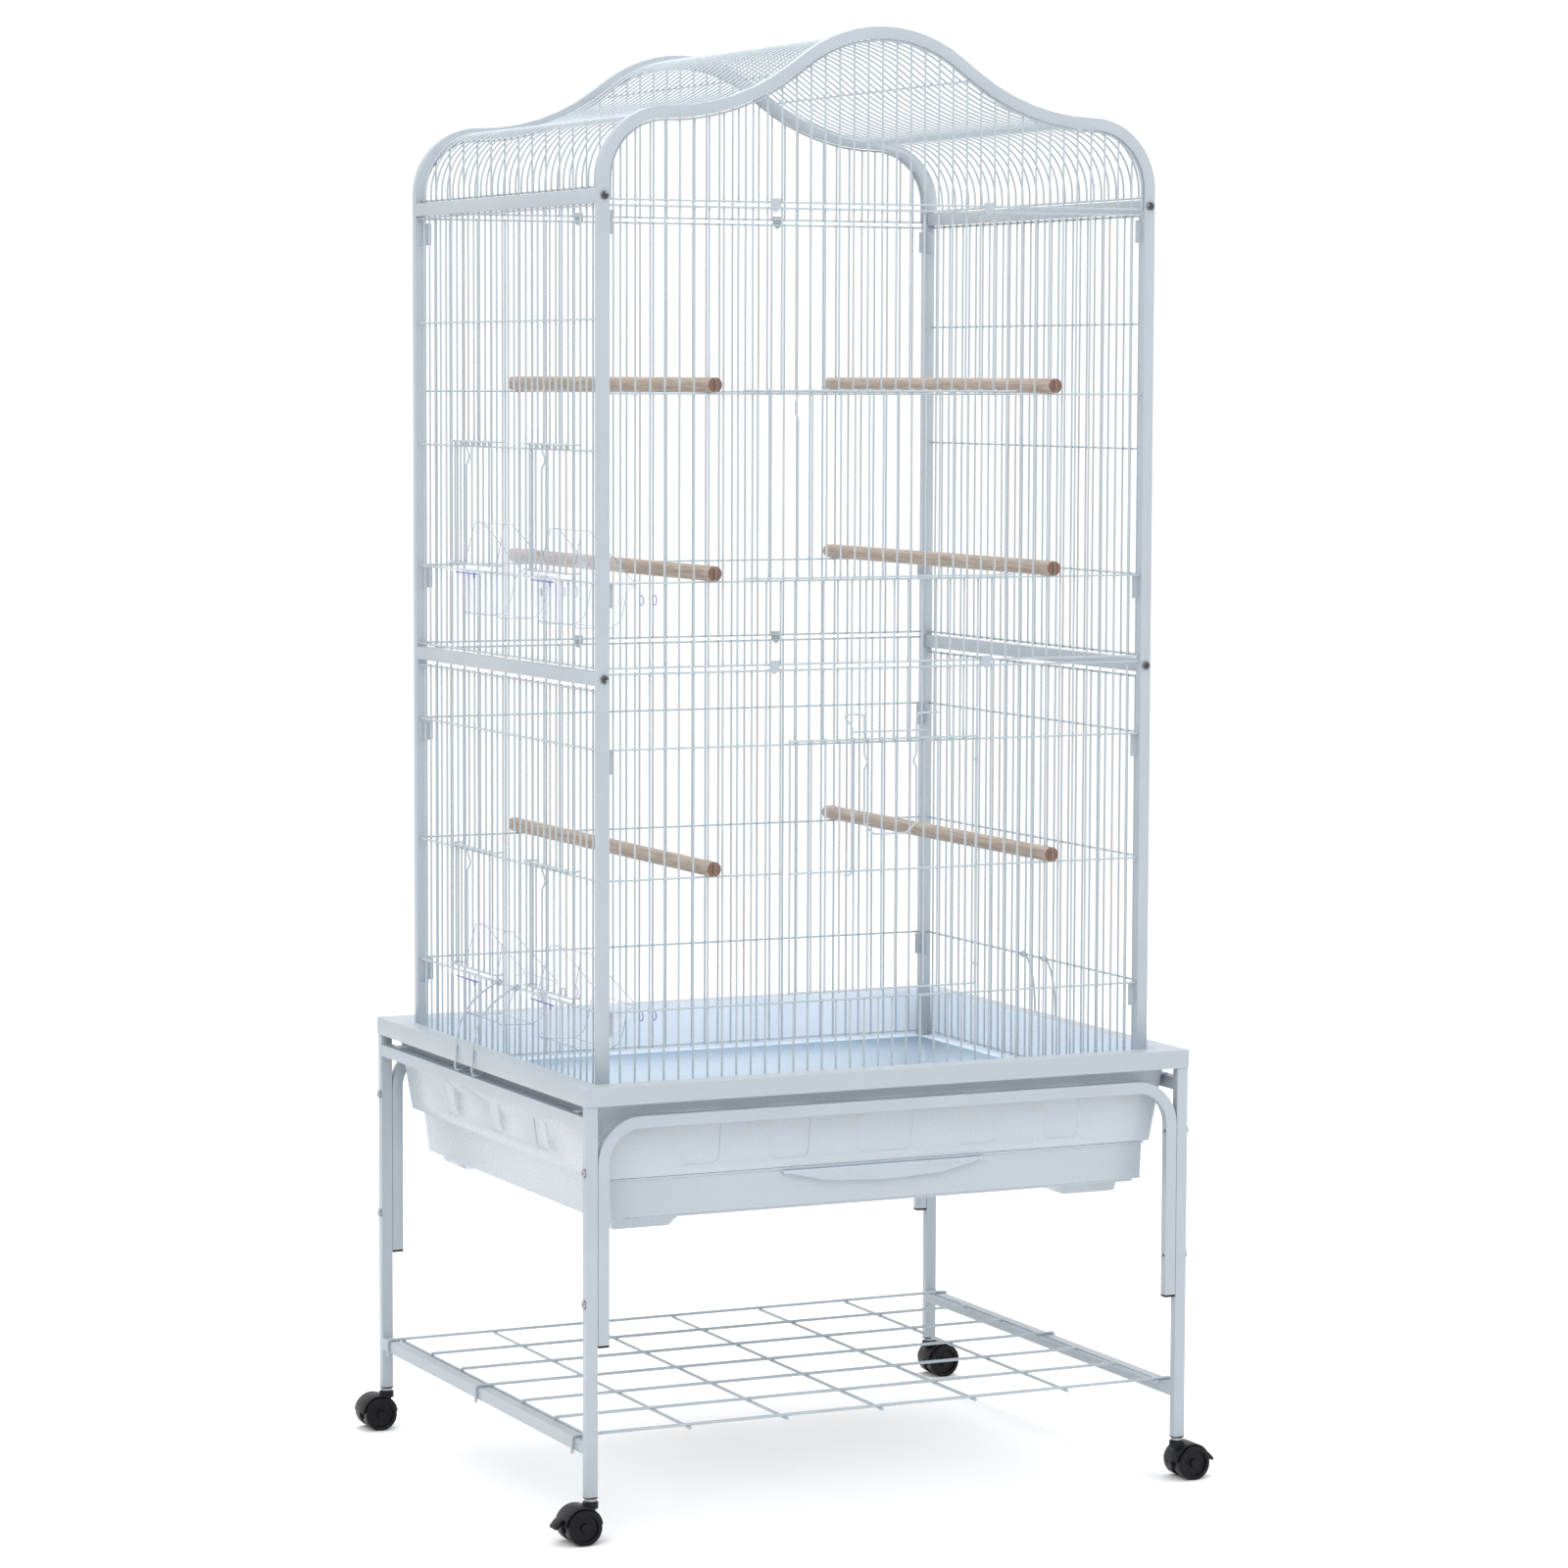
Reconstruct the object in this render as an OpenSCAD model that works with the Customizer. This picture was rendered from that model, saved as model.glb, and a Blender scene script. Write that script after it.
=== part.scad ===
// Tall wire bird cage with an arched crown on a rolling stand.
// Frame: origin on the floor under the middle of the cage, +X to the right seen from the
// door side, +Y to the back, +Z up. Every part is drawn closed and at rest.

/* [Cage] */
// Width of the cage over its corner posts
cage_w = 666; // [640:2:690]
// Depth of the cage over its corner posts
cage_d = 544; // [520:2:560]
// Height of the joint between the posts and the crown
joint_z = 1412; // [1380:1:1500]
// Width of a corner tube across the front
post_w = 12.7; // [12:0.1:14]
// Depth of a corner tube
post_d = 10; // [9:0.1:11]
// Wall of every steel tube
tube_wall = 1; // [0.8:0.1:1.4]
// Height of the flat side bars
bar_h = 14.7; // [13:0.1:16]
// Underside of the middle side bars
mid_bar_z = 905; // [904:1:906]

/* [Crown] */
// Radius of the crown's top
crown_r = 160; // [155:1:165]
// Radius of the hollow beside the crown's top
valley_r = 243; // [238:1:248]
// Steepest slope of the crown, in degrees
crown_slope = 36; // [35:0.5:37]
// Straight run between the top and the hollow
slope_run = 23.5; // [20:0.5:27]
// Straight rise of the crown above its joint
leg_rise = 24.5; // [20:0.5:30]

/* [Wires] */
// Diameter of the cage wires
wire_d = 2.2; // [2:0.1:2.5]
// Distance between the upright wires
pitch = 17; // [17:0.1:17.2]

/* [Stand] */
// Height of the rim that the cage stands on
rim_z = 485; // [485:1:487]
// Height of the rim's outer skirt
skirt_h = 20; // [18:1:22]
// Width of a stand leg across the front
leg_w = 13; // [12:0.1:14]
// Lowest point of the leg tubes
leg_z = 48; // [46:1:50]
// Top of the shelf's side bars
shelf_z = 107; // [100:1:120]
// Outer radius of the bends in the cross tubes
bend_r = 50; // [40:1:60]
// Lowest point of the cross tubes
u_foot_z = 210; // [200:1:230]
// Diameter of the shelf wires
shelf_wire_d = 3.5; // [3:0.1:4]

/* [Casters] */
// Diameter of the caster wheels
wheel_d = 38; // [36:1:38]
// Distance from the swivel axis out to the axle
trail = 13; // [12:0.5:14]
// Diameter of a caster's stem
stem_d = 6; // [6:0.5:7]

/* [Basin] */
// Wall of the plastic basin
basin_wall = 2.4; // [2:0.1:3]
// Height of the basin's underside
basin_z = 331; // [329:1:333]

/* [Perches] */
// Diameter of the wooden perches
perch_d = 16.5; // [15:0.5:18]
// Length of a perch
perch_l = 567; // [565:1:575]

/* [Hidden] */

coat = [0.80, 0.83, 0.85];
zinc = [0.62, 0.63, 0.65];
white_plastic = [0.86, 0.89, 0.92];
black_plastic = [0.10, 0.10, 0.11];
clear_plastic = [0.80, 0.86, 0.95, 0.4];
oak = [0.70, 0.58, 0.48];

fine = 48;                      // facets of a preview circle; the solids stay true circles
hx = cage_w / 2;                // outer face of the posts
hy = cage_d / 2;
wire_r = wire_d / 2;
cross_t = wire_d * sqrt(PI) / 2;             // square cross wire of the same section
weld = 0.25;                                 // depth that two welded wires sink in
cross_out = wire_r + cross_t / 2 - weld;     // from an upright to the cross wire on it
panel_in = 5;                   // wires run this far inside the posts' outer faces
side_in = 4.5;
front_wires = floor((hx - post_w - 8) / pitch);
side_wires = floor((hy - post_d - 8) / pitch - 0.5);
end_gap = 0.5;                  // between a cross wire's end and the tube beside it

rail_1 = 558;                   // cross wires, from the rim up
rail_2 = 698;
rail_3 = 837;
rail_4 = 1013;
rail_5 = 1152;
rail_6 = 1290;
door_top_rail = 1212.5;
low_top_rail = 917;
high_low_rail = 923.5;
high_top_rail = joint_z - 3;
gable_rail = joint_z + 3.5;
roof_rail = joint_z + 16.5;

// crown: the shoulder ends on the post, so its radius follows from the other arcs
shoulder_x = (crown_r + valley_r) * sin(crown_slope) + slope_run * cos(crown_slope);
shoulder_z = joint_z + leg_rise;
shoulder_r = hx - shoulder_x;
valley_z = shoulder_z + shoulder_r + valley_r;
crown_z = shoulder_z + shoulder_r + (crown_r + valley_r) * (1 - cos(crown_slope))
    + slope_run * sin(crown_slope) - crown_r;
ridge_wire_x = 112;             // the roof's lengthways wires, each side of the top

rim_x = hx + 32;                // rim's outer faces
rim_y = hy + 41;
rim_in_x = hx + 11;             // inner edge of the rim's flange
rim_in_y = hy + 16;
rim_t = 1.2;
ledge_z = rim_z - 54;
ledge_in = 23;
rim_corner_r = 2;
leg_x = rim_x - 1.5;            // outer faces of the legs
leg_y = rim_y - 1.5;
side_bar_z = 440;
side_bar_h = 13.5;
u_gap = 0.6;
u_x = leg_x - leg_w - u_gap;    // outer faces of the cross tubes' legs
u_w = 12.7;
u_top_z = 452;
u_screw_z = [254.5, 394.5];
swivel_x = leg_x - leg_w / 2;
swivel_y = leg_y - post_d / 2;

upper_door_x = 9 * pitch;       // half width of the upper door's opening
lower_door_x = 7 * pitch;
feeder_span = 7 * pitch;        // width of a feeder opening
feeder_y = [5 * pitch, -8 * pitch]; // back and front feeder, middle of each
feeder_rail = [rail_4, rail_1]; // upper and lower feeder, the wire that each hangs on
door_y = -hy - 1;               // plane of the front doors' uprights
door_bar_y = door_y - cross_out;
hinge_x = 115;
feeder_door_x = -hx - 1.5;
hook_y = [17, -34];

// ---- helpers ----

// Straight round wire between two points
module rod(p, q, d) {
    v = q - p;
    h = norm(v);
    translate(p) rotate([0, acos(v[2] / h), atan2(v[1], v[0])]) cylinder(d = d, h = h, $fn = 24);
}

// Bent round wire through points, with a slightly fuller ball at each bend
module bent_wire(points, d, ball_fn = 24) {
    for (i = [0:len(points) - 2]) rod(points[i], points[i + 1], d);
    for (i = [1:len(points) - 2]) translate(points[i]) sphere(d = d * 1.12, $fn = ball_fn);
}

// Square cross wire along X or Y, centred on its own line
module cross_x(x0, x1, y, z) {
    translate([x0, y - cross_t / 2, z - cross_t / 2]) cube([x1 - x0, cross_t, cross_t]);
}

module upright(x, y, z0, z1) {
    translate([x, y, z0]) cylinder(d = wire_d, h = z1 - z0, $fn = 24);
}

// Upright of a panel, cut where it would cross an opening [x0, x1, z0, z1]
module panel_upright(x, z0, z1, openings) {
    cut = [for (o = openings) if (x > o[0] + 1 && x < o[1] - 1) o];
    if (len(cut) == 0) upright(x, 0, z0, z1);
    else {
        upright(x, 0, z0, cut[0][2] + wire_r);
        upright(x, 0, cut[0][3] - wire_r, z1);
    }
}

module panel_rail(half, z, openings) {
    cut = [for (o = openings) if (z > o[2] + 1 && z < o[3] - 1) o];
    if (len(cut) == 0) cross_x(-half, half, -cross_out, z);
    else {
        cross_x(-half, cut[0][0] + wire_r, -cross_out, z);
        cross_x(cut[0][1] - wire_r, half, -cross_out, z);
    }
}

// Flat wire panel in the plane y = 0, its cross wires towards -Y
module wire_panel(xs, rails, half, openings = []) {
    for (x = xs) panel_upright(x, min(rails) - 2, max(rails) + 2, openings);
    for (z = rails) panel_rail(half, z, openings);
}

module on_front() { translate([0, -hy + panel_in, 0]) children(); }
module on_back() { translate([0, hy - panel_in, 0]) rotate(180) children(); }
module on_left() { translate([-hx + side_in, 0, 0]) rotate(-90) children(); }
module on_right() { translate([hx - side_in, 0, 0]) rotate(90) children(); }

front_xs = [for (n = [-front_wires:front_wires]) n * pitch];
side_xs = [for (n = [-side_wires - 1:side_wires]) (n + 0.5) * pitch];
front_half = hx - post_w - end_gap;
side_half = hy - post_d - end_gap;

// Rectangle with round corners, centred
module round_rect(w, d, r) {
    translate([-w / 2 + r, -d / 2]) square([w - 2 * r, d]);
    translate([-w / 2, -d / 2 + r]) square([w, d - 2 * r]);
    for (sx = [-1, 1], sy = [-1, 1])
        translate([sx * (w / 2 - r), sy * (d / 2 - r)]) circle(r = r, $fn = fine);
}

module ring_sector(r0, r1, a0, a1) {
    far = 2 * r1;
    am = (a0 + a1) / 2;
    intersection() {
        difference() {
            circle(r = r1, $fn = 96);
            circle(r = r0, $fn = 96);
        }
        polygon([[0, 0], far * [cos(a0), sin(a0)], far * [cos(am), sin(am)], far * [cos(a1), sin(a1)]]);
    }
}

function arc_points(x, z, r, a0, a1, steps) =
    [for (i = [0:steps]) let (a = a0 + (a1 - a0) * i / steps) [x + r * cos(a), z + r * sin(a)]];

// Right half of the crown's outline, t inside the outer one, from the top down to the height foot
function crown_half(t, foot, step) = concat(
    arc_points(0, crown_z, crown_r - t, 90, 90 - crown_slope, ceil(crown_slope / step)),
    arc_points(shoulder_x, valley_z, valley_r + t, 270 - crown_slope, 270, ceil(crown_slope / step)),
    arc_points(shoulder_x, shoulder_z, shoulder_r - t, 90, 0, ceil(90 / step)),
    [[hx - t, foot]]);

// Whole outline from the left foot over the top to the right foot
function crown_line(t, foot, step) =
    let (half = crown_half(t, foot, step), n = len(half))
    concat([for (i = [n - 1:-1:1]) [-half[i][0], half[i][1]]], half);

// Band that follows the crown from t0 to t1 inside its outer outline, down to the height foot
module crown_band(t0, t1, foot, step = 6) {
    inner = crown_line(t1, foot, step);
    polygon(concat(crown_line(t0, foot, step), [for (i = [len(inner) - 1:-1:0]) inner[i]]));
}

// Height of the crown's outline, t inside the outer one, above the point x
function crown_height(x, t) =
    let (a = abs(x), x1 = (crown_r - t) * sin(crown_slope),
        x2 = shoulder_x - (valley_r + t) * sin(crown_slope))
    a <= x1 ? crown_z + sqrt(pow(crown_r - t, 2) - a * a)
    : a <= x2 ? crown_z + (crown_r - t) * cos(crown_slope) - (a - x1) * tan(crown_slope)
    : a <= shoulder_x ? valley_z - sqrt(pow(valley_r + t, 2) - pow(a - shoulder_x, 2))
    : shoulder_z + sqrt(pow(shoulder_r - t, 2) - pow(a - shoulder_x, 2));

// Extrudes an X-Z outline over the depth d, starting at y
module along_y(y, d) { translate([0, y + d, 0]) rotate([90, 0, 0]) linear_extrude(d) children(); }

// ---- cage frame ----

screw_x = hx - post_w / 2;
screw_z = joint_z + 7;
mid_screw_z = mid_bar_z + bar_h / 2;
screw_hole = 4.2;
head_d = 9;

module screw_bore(x, y, z) {
    translate([x, y - 20, z]) rotate([-90, 0, 0]) cylinder(d = screw_hole, h = 40, $fn = 24);
}

module arch(y) {
    color(coat) difference() {
        along_y(y, post_d) crown_band(0, post_w, joint_z);
        along_y(y + tube_wall, post_d - 2 * tube_wall) crown_band(tube_wall, post_w - tube_wall, joint_z - 1);
        for (sx = [-1, 1]) screw_bore(sx * screw_x, y, screw_z);
    }
}
module front_arch() { arch(-hy); }
module back_arch() { arch(hy - post_d); }

bracket_z = [rail_1 - 26, rail_3 - 26, rail_4 - 26, high_top_rail - 30];
bracket_h = 25;
tab_t = 1.2;

// Corner post drawn at the back right; its folded brackets face the two panels
module post_shape() {
    difference() {
        union() {
            translate([hx - post_w, hy - post_d, ledge_z]) cube([post_w, post_d, joint_z - ledge_z]);
            for (z = bracket_z) translate([0, 0, z]) {
                translate([hx - 10, hy - post_d - tab_t, 0]) cube([8.5, tab_t + 0.1, bracket_h]);
                translate([hx - 10, hy - post_d - 8, 0]) cube([tab_t, 8.1, bracket_h]);
                translate([hx - post_w - 7, hy - post_d + 1.2, 0]) cube([7.1, tab_t, bracket_h]);
            }
        }
        translate([hx - post_w + tube_wall, hy - post_d + tube_wall, ledge_z - 1])
            cube([post_w - 2 * tube_wall, post_d - 2 * tube_wall, joint_z - ledge_z + 2]);
        screw_bore(screw_x, hy, mid_screw_z);
    }
}
module back_right_post() { color(coat) post_shape(); }
module back_left_post() { color(coat) mirror([1, 0, 0]) post_shape(); }
module front_right_post() { color(coat) mirror([0, 1, 0]) post_shape(); }
module front_left_post() { color(coat) mirror([1, 0, 0]) mirror([0, 1, 0]) post_shape(); }

// Flat tube between the front and the back frame, with closed ends
module side_bar(side, z, hole_z) {
    bar_w = 10;
    end_t = 2;
    len_y = 2 * (hy - post_d);
    x0 = side > 0 ? hx - bar_w : -hx;
    color(coat) difference() {
        translate([x0, -len_y / 2, z]) cube([bar_w, len_y, bar_h]);
        translate([x0 + tube_wall, -len_y / 2 + end_t, z + tube_wall])
            cube([bar_w - 2 * tube_wall, len_y - 2 * end_t, bar_h - 2 * tube_wall]);
        for (sy = [-1, 1]) screw_bore(side * screw_x, sy * hy, hole_z);
    }
}
top_bar_z = joint_z - 0.5;
module left_top_bar() { side_bar(-1, top_bar_z, screw_z); }
module right_top_bar() { side_bar(1, top_bar_z, screw_z); }
module left_mid_bar() { side_bar(-1, mid_bar_z, mid_screw_z); }
module right_mid_bar() { side_bar(1, mid_bar_z, mid_screw_z); }

// Pan-head screw along +Z from its head's seat, with a round drive recess
module screw(length) {
    head_h = 2.2;
    difference() {
        union() {
            translate([0, 0, -head_h]) cylinder(d = head_d, h = head_h, $fn = fine);
            cylinder(d = 4, h = length, $fn = 24);
        }
        translate([0, 0, -head_h - 1]) cylinder(d = 3, h = 2.2, $fn = 24);
    }
}
module frame_screws() {
    color(zinc) {
        for (sx = [-1, 1], z = [screw_z, mid_screw_z]) {
            translate([sx * screw_x, -hy, z]) rotate([-90, 0, 0]) screw(20);
            translate([sx * screw_x, hy, z]) rotate([90, 0, 0]) screw(20);
        }
        for (sy = [-1, 1], z = u_screw_z) {
            translate([-leg_x, sy * swivel_y, z]) rotate([0, 90, 0]) screw(leg_w + 10);
            translate([leg_x, sy * swivel_y, z]) rotate([0, -90, 0]) screw(leg_w + 10);
        }
    }
}

module joint_sleeves() {
    play = 0.15;
    w = post_w - 2 * tube_wall - 2 * play;
    d = post_d - 2 * tube_wall - 2 * play;
    color(zinc) for (sx = [-1, 1], sy = [-1, 1]) translate([sx * screw_x, sy * (hy - post_d / 2), joint_z]) {
        difference() {
            translate([-w / 2, -d / 2, -30]) cube([w, d, leg_rise + 25]);
            translate([-w / 2 + 1, -d / 2 + 1, -31]) cube([w - 2, d - 2, leg_rise + 27]);
            screw_bore(0, 0, screw_z - joint_z);
        }
    }
}

// ---- wire panels ----

edge_in = post_w + 1;           // the gable's curved edge wire, inside the arch

module gable() {
    for (x = front_xs) upright(x, 0, gable_rail - 2, crown_height(x, edge_in + cross_t / 2) + wire_r - 0.3);
    cross_x(-front_half, front_half, -cross_out, gable_rail);
    along_y(-cross_out - cross_t / 2, cross_t) crown_band(edge_in, edge_in + cross_t, gable_rail);
}
module front_gable() { color(coat) on_front() gable(); }
module back_gable() { color(coat) on_back() gable(); }

module roof_panel() {
    mid = post_w / 2;
    color(coat) {
        for (y = side_xs) along_y(y - cross_t / 2, cross_t)
            crown_band(mid - cross_t / 2, mid + cross_t / 2, roof_rail, 12);
        for (x = [-ridge_wire_x, ridge_wire_x])
            translate([x, -side_half, crown_height(x, mid) - cross_out - 0.4]) rotate([-90, 0, 0])
                cylinder(d = wire_d, h = 2 * side_half, $fn = 24);
        for (sx = [-1, 1]) translate([sx * (hx - mid), -side_half, roof_rail]) rotate([-90, 0, 0])
            translate([-sx * (cross_out - 0.1), 0, 0]) cylinder(d = wire_d, h = 2 * side_half, $fn = 24);
    }
}

upper_hole = [-upper_door_x, upper_door_x, rail_4, door_top_rail];
lower_hole = [-lower_door_x, lower_door_x, rail_1, rail_3];
low_foot_rail = ledge_z + 6;
low_front_rails = [low_foot_rail, rail_1, rail_2, rail_3, low_top_rail];

module front_upper_panel() {
    color(coat) on_front()
        wire_panel(front_xs, [high_low_rail, rail_4, door_top_rail, high_top_rail], front_half, [upper_hole]);
}
module back_upper_panel() {
    color(coat) on_back()
        wire_panel(front_xs, [high_low_rail, rail_4, door_top_rail, high_top_rail], front_half);
}

// Two eyelets on the opening's right edge wire hold the lower door's hinge wire
eyelet_z = [590, 815];
eyelet_r = 2.6;
module eyelets() {
    for (z = eyelet_z) {
        translate([hinge_x, door_y, z]) rotate_extrude($fn = fine)
            translate([eyelet_r, 0]) circle(d = 2, $fn = 24);
        rod([hinge_x + eyelet_r * 0.5547, door_y + eyelet_r * 0.83205, z],
            [lower_door_x, -hy + panel_in, z], 1.8);
    }
}
module front_lower_panel() {
    color(coat) {
        on_front() wire_panel(front_xs, low_front_rails, front_half, [lower_hole]);
        eyelets();
    }
}
module back_lower_panel() {
    color(coat) on_back()
        wire_panel(front_xs, low_front_rails, front_half);
}

// The left panels are drawn with their own X along -Y, so the openings' middles change sign
function feeder_holes(z0, z1) = [for (y = feeder_y) [-y - feeder_span / 2, -y + feeder_span / 2, z0, z1]];
upper_side_rails = [high_low_rail, rail_4, rail_5, rail_6, high_top_rail];
lower_side_rails = [low_foot_rail, rail_1, rail_2, rail_3, low_top_rail - 18];

module left_upper_panel() {
    color(coat) on_left() wire_panel(side_xs, upper_side_rails, side_half, feeder_holes(rail_4, rail_5));
}
module left_lower_panel() {
    color(coat) on_left() wire_panel(side_xs, lower_side_rails, side_half, feeder_holes(rail_1, rail_2));
}
module right_upper_panel() { color(coat) on_right() wire_panel(side_xs, upper_side_rails, side_half); }
module right_lower_panel() { color(coat) on_right() wire_panel(side_xs, lower_side_rails, side_half); }

// Shield-shaped plates over the cross wires of two neighbouring panels
module clip_plate(x, z) {
    gap = 0.15;
    translate([x, -cross_out - cross_t / 2 - gap, z]) rotate([90, 0, 0]) linear_extrude(1.2)
        polygon([[-6, 7.5], [6, 7.5], [6, -3], [0, -7.5], [-6, -3]]);
}
module panel_clips() {
    color(coat) for (x = [-128, 128], z = [joint_z, (low_top_rail + high_low_rail) / 2]) {
        on_front() clip_plate(x, z);
        on_back() clip_plate(x, z);
    }
}

// ---- doors ----

guide_d = 1.8;
guide_x = 161.5;
upper_door_z = [rail_4 + 3, door_top_rail + 3.5];

// Loop at a door bar's end that runs round the opening's edge wire
module guide_loop(sx, z) {
    inner_y = -hy + panel_in + 5.5;
    bent_wire([[sx * (upper_door_x - 6), door_bar_y, z], [sx * guide_x, door_bar_y, z],
        [sx * guide_x, inner_y, z], [sx * (upper_door_x - 7), inner_y, z]], guide_d);
}
module upper_door() {
    edge = upper_door_x - 3.5;
    color(coat) {
        for (x = [for (n = [-8:8]) n * pitch]) upright(x, door_y, upper_door_z[0] - 2, upper_door_z[1] + 2);
        for (sx = [-1, 1]) upright(sx * edge, door_y, upper_door_z[0] - 2, upper_door_z[1] + 2);
        for (z = upper_door_z) {
            cross_x(-edge - 1, edge + 1, door_bar_y, z);
            for (sx = [-1, 1]) guide_loop(sx, z);
        }
    }
}

lower_door_z = [568.5, rail_3 + 3.5];
lower_door_left = -110.5;
module lower_door() {
    color(coat) {
        for (x = [lower_door_left, for (n = [-6:6]) n * pitch, hinge_x])
            upright(x, door_y, lower_door_z[0] - 2.5, lower_door_z[1] + 2);
        for (z = [lower_door_z[0], rail_2, lower_door_z[1]])
            cross_x(lower_door_left - 1, hinge_x + 1, door_bar_y, z);
    }
}

// Spring wire that slides down to free the door: a U with a hooked rod on the left
latch_y = door_bar_y - cross_t / 2 - wire_r - 1;
module lower_door_latch() {
    left = -23.6;
    right = 39.5;
    rod_x = -38.5;
    top = 868;
    bottom = 737.6;
    function at(x, z) = [x, latch_y, z];
    color(zinc) bent_wire([
        at(rod_x - 9, rail_2 - 4), at(rod_x, rail_2 - 4), at(rod_x, 855), at(-50, top), at(left, top),
        at(left, bottom + 12), at(-12, bottom), at(28, bottom), at(right, bottom + 12),
        at(right, top), at(66.5, top)], wire_d);
    color(zinc) rod(at(-40, 849), at(50, 849), wire_d * 0.9);
}

// Lift-up door over a feeder opening, its guide hooks round the opening's edge wires
module feeder_door(y, rail) {
    z0 = rail + 6;
    z1 = rail + 144.5;
    edge = feeder_span / 2;
    loop_x = -hx + side_in + 5.5;
    bar_x = feeder_door_x - cross_out;
    color(coat) translate([0, y, 0]) {
        for (k = [-3:3]) upright(feeder_door_x, k * pitch, z0, z1 + 1.5);
        for (z = [z0 + 2, z1]) translate([bar_x - cross_t / 2, -edge + 4, z - cross_t / 2])
            cube([cross_t, feeder_span - 8, cross_t]);
        for (sy = [-1, 1], z = [z0 + 2, z1])
            bent_wire([[bar_x, sy * (edge - 5), z], [bar_x, sy * (edge + 8), z], [loop_x, sy * (edge + 8), z],
                [loop_x, sy * (edge - 0.9), z]], guide_d);
    }
}
module upper_back_feeder_door() { feeder_door(feeder_y[0], feeder_rail[0]); }
module upper_front_feeder_door() { feeder_door(feeder_y[1], feeder_rail[0]); }
module lower_back_feeder_door() { feeder_door(feeder_y[0], feeder_rail[1]); }
module lower_front_feeder_door() { feeder_door(feeder_y[1], feeder_rail[1]); }

// ---- feeders and perches ----

cup_w = 100;
lip_w = feeder_span - 6;
cup_wall = 2;

// Side outline of a feeder: x from the panel's plane inwards, z from the wire it hangs on
cup_outline = [[3, -46], [8, -51], [46, -52.5], [56, -46], [61, -35], [66, -10], [76, -8.5],
    [76, -4], [72, -0.5], [24.5, 53], [15, 53], [3, 3.5]];
cup_inside = [[5, -45], [9, -49], [45.3, -50.4], [54.3, -44.6], [59.1, -34.3], [64, -9],
    [70, -0.8], [23.6, 51], [16.5, 51], [5, 3]];
bird_side = [[64, -4], [82, -4], [82, 20], [40, 60], [25, 60], [25, 50]];
module feeder(y, rail) {
    x0 = -hx + side_in;
    lip_z = cross_t / 2 + 0.3;
    inner_w = cup_w - 2 * cup_wall;
    color(clear_plastic) translate([x0, y, rail]) {
        difference() {
            along_y(-cup_w / 2, cup_w) polygon(cup_outline);
            along_y(-inner_w / 2, inner_w) polygon(cup_inside);
            along_y(-inner_w / 2, inner_w) polygon(bird_side);
            translate([-1, -inner_w / 2, lip_z + 1.5]) cube([15, inner_w, 48 - lip_z - 1.5]);
        }
        translate([-16.5, -lip_w / 2, lip_z]) cube([20.5, lip_w, 1.8]);
        translate([-18, -lip_w / 2, lip_z - 3]) cube([1.6, lip_w, 4.8]);
        translate([62, 0, -25]) rotate([0, 90, 0]) cylinder(d = 8.5, h = 46, $fn = fine);
        translate([104, 0, -25]) rotate([0, 90, 0]) cylinder(d = 10.5, h = 16.5, $fn = fine);
    }
}
module upper_back_feeder() { feeder(feeder_y[0], feeder_rail[0]); }
module upper_front_feeder() { feeder(feeder_y[1], feeder_rail[0]); }
module lower_back_feeder() { feeder(feeder_y[0], feeder_rail[1]); }
module lower_front_feeder() { feeder(feeder_y[1], feeder_rail[1]); }

// Pair of perches whose slotted ends grip the twelfth wire each side and lie on a cross wire
module perch_pair(rail) {
    slot = wire_d + 0.8;
    z = rail + cross_t / 2 + perch_d / 2 + 0.05;
    slot_depth = perch_l / 2 - (hy - panel_in) + wire_r + 2;
    color(oak) for (sx = [-1, 1]) translate([sx * 12 * pitch, 0, z]) difference() {
        translate([0, -perch_l / 2, 0]) rotate([-90, 0, 0]) cylinder(d = perch_d, h = perch_l, $fn = fine);
        for (sy = [-1, 1]) translate([0, sy * (perch_l / 2 - slot_depth / 2 + 0.05), 0])
            cube([slot, slot_depth + 0.1, 2 * perch_d], center = true);
    }
}
module top_perches() { perch_pair(door_top_rail); }
module middle_perches() { perch_pair(rail_4); }
module low_perches() { perch_pair(rail_2); }

// ---- stand ----

// Sloped inner wall of the rim and the ledge under the cage, as a section: x inwards from the
// flange's edge counts negative
rim_section = [[0, rim_z], [-1.3, rim_z], [-7.3, ledge_z], [-ledge_in, ledge_z], [-ledge_in, ledge_z - rim_t],
    [-6, ledge_z - rim_t]];

// One straight side of that section, drawn for +X and mitred at both corners
module rim_side(reach, half) {
    over = 40;
    intersection() {
        translate([reach, half + over, 0]) rotate([90, 0, 0]) linear_extrude(2 * (half + over))
            polygon(rim_section);
        linear_extrude(rim_z + 1) polygon([[reach - over, half - over], [reach + 5, half + 5],
            [reach + 5, -half - 5], [reach - over, -half + over]]);
    }
}
module rim_frame() {
    color(coat) {
        translate([0, 0, rim_z - skirt_h]) linear_extrude(skirt_h) difference() {
            round_rect(2 * rim_x, 2 * rim_y, rim_corner_r);
            round_rect(2 * rim_x - 2 * rim_t, 2 * rim_y - 2 * rim_t, rim_corner_r - rim_t);
        }
        translate([0, 0, rim_z - rim_t]) linear_extrude(rim_t) difference() {
            round_rect(2 * rim_x - rim_t, 2 * rim_y - rim_t, rim_corner_r - rim_t / 2);
            square([2 * rim_in_x - 1, 2 * rim_in_y - 1], center = true);
        }
        for (a = [0, 180]) rotate(a) rim_side(rim_in_x, rim_in_y);
        for (a = [90, 270]) rotate(a) rim_side(rim_in_y, rim_in_x);
    }
}

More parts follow.
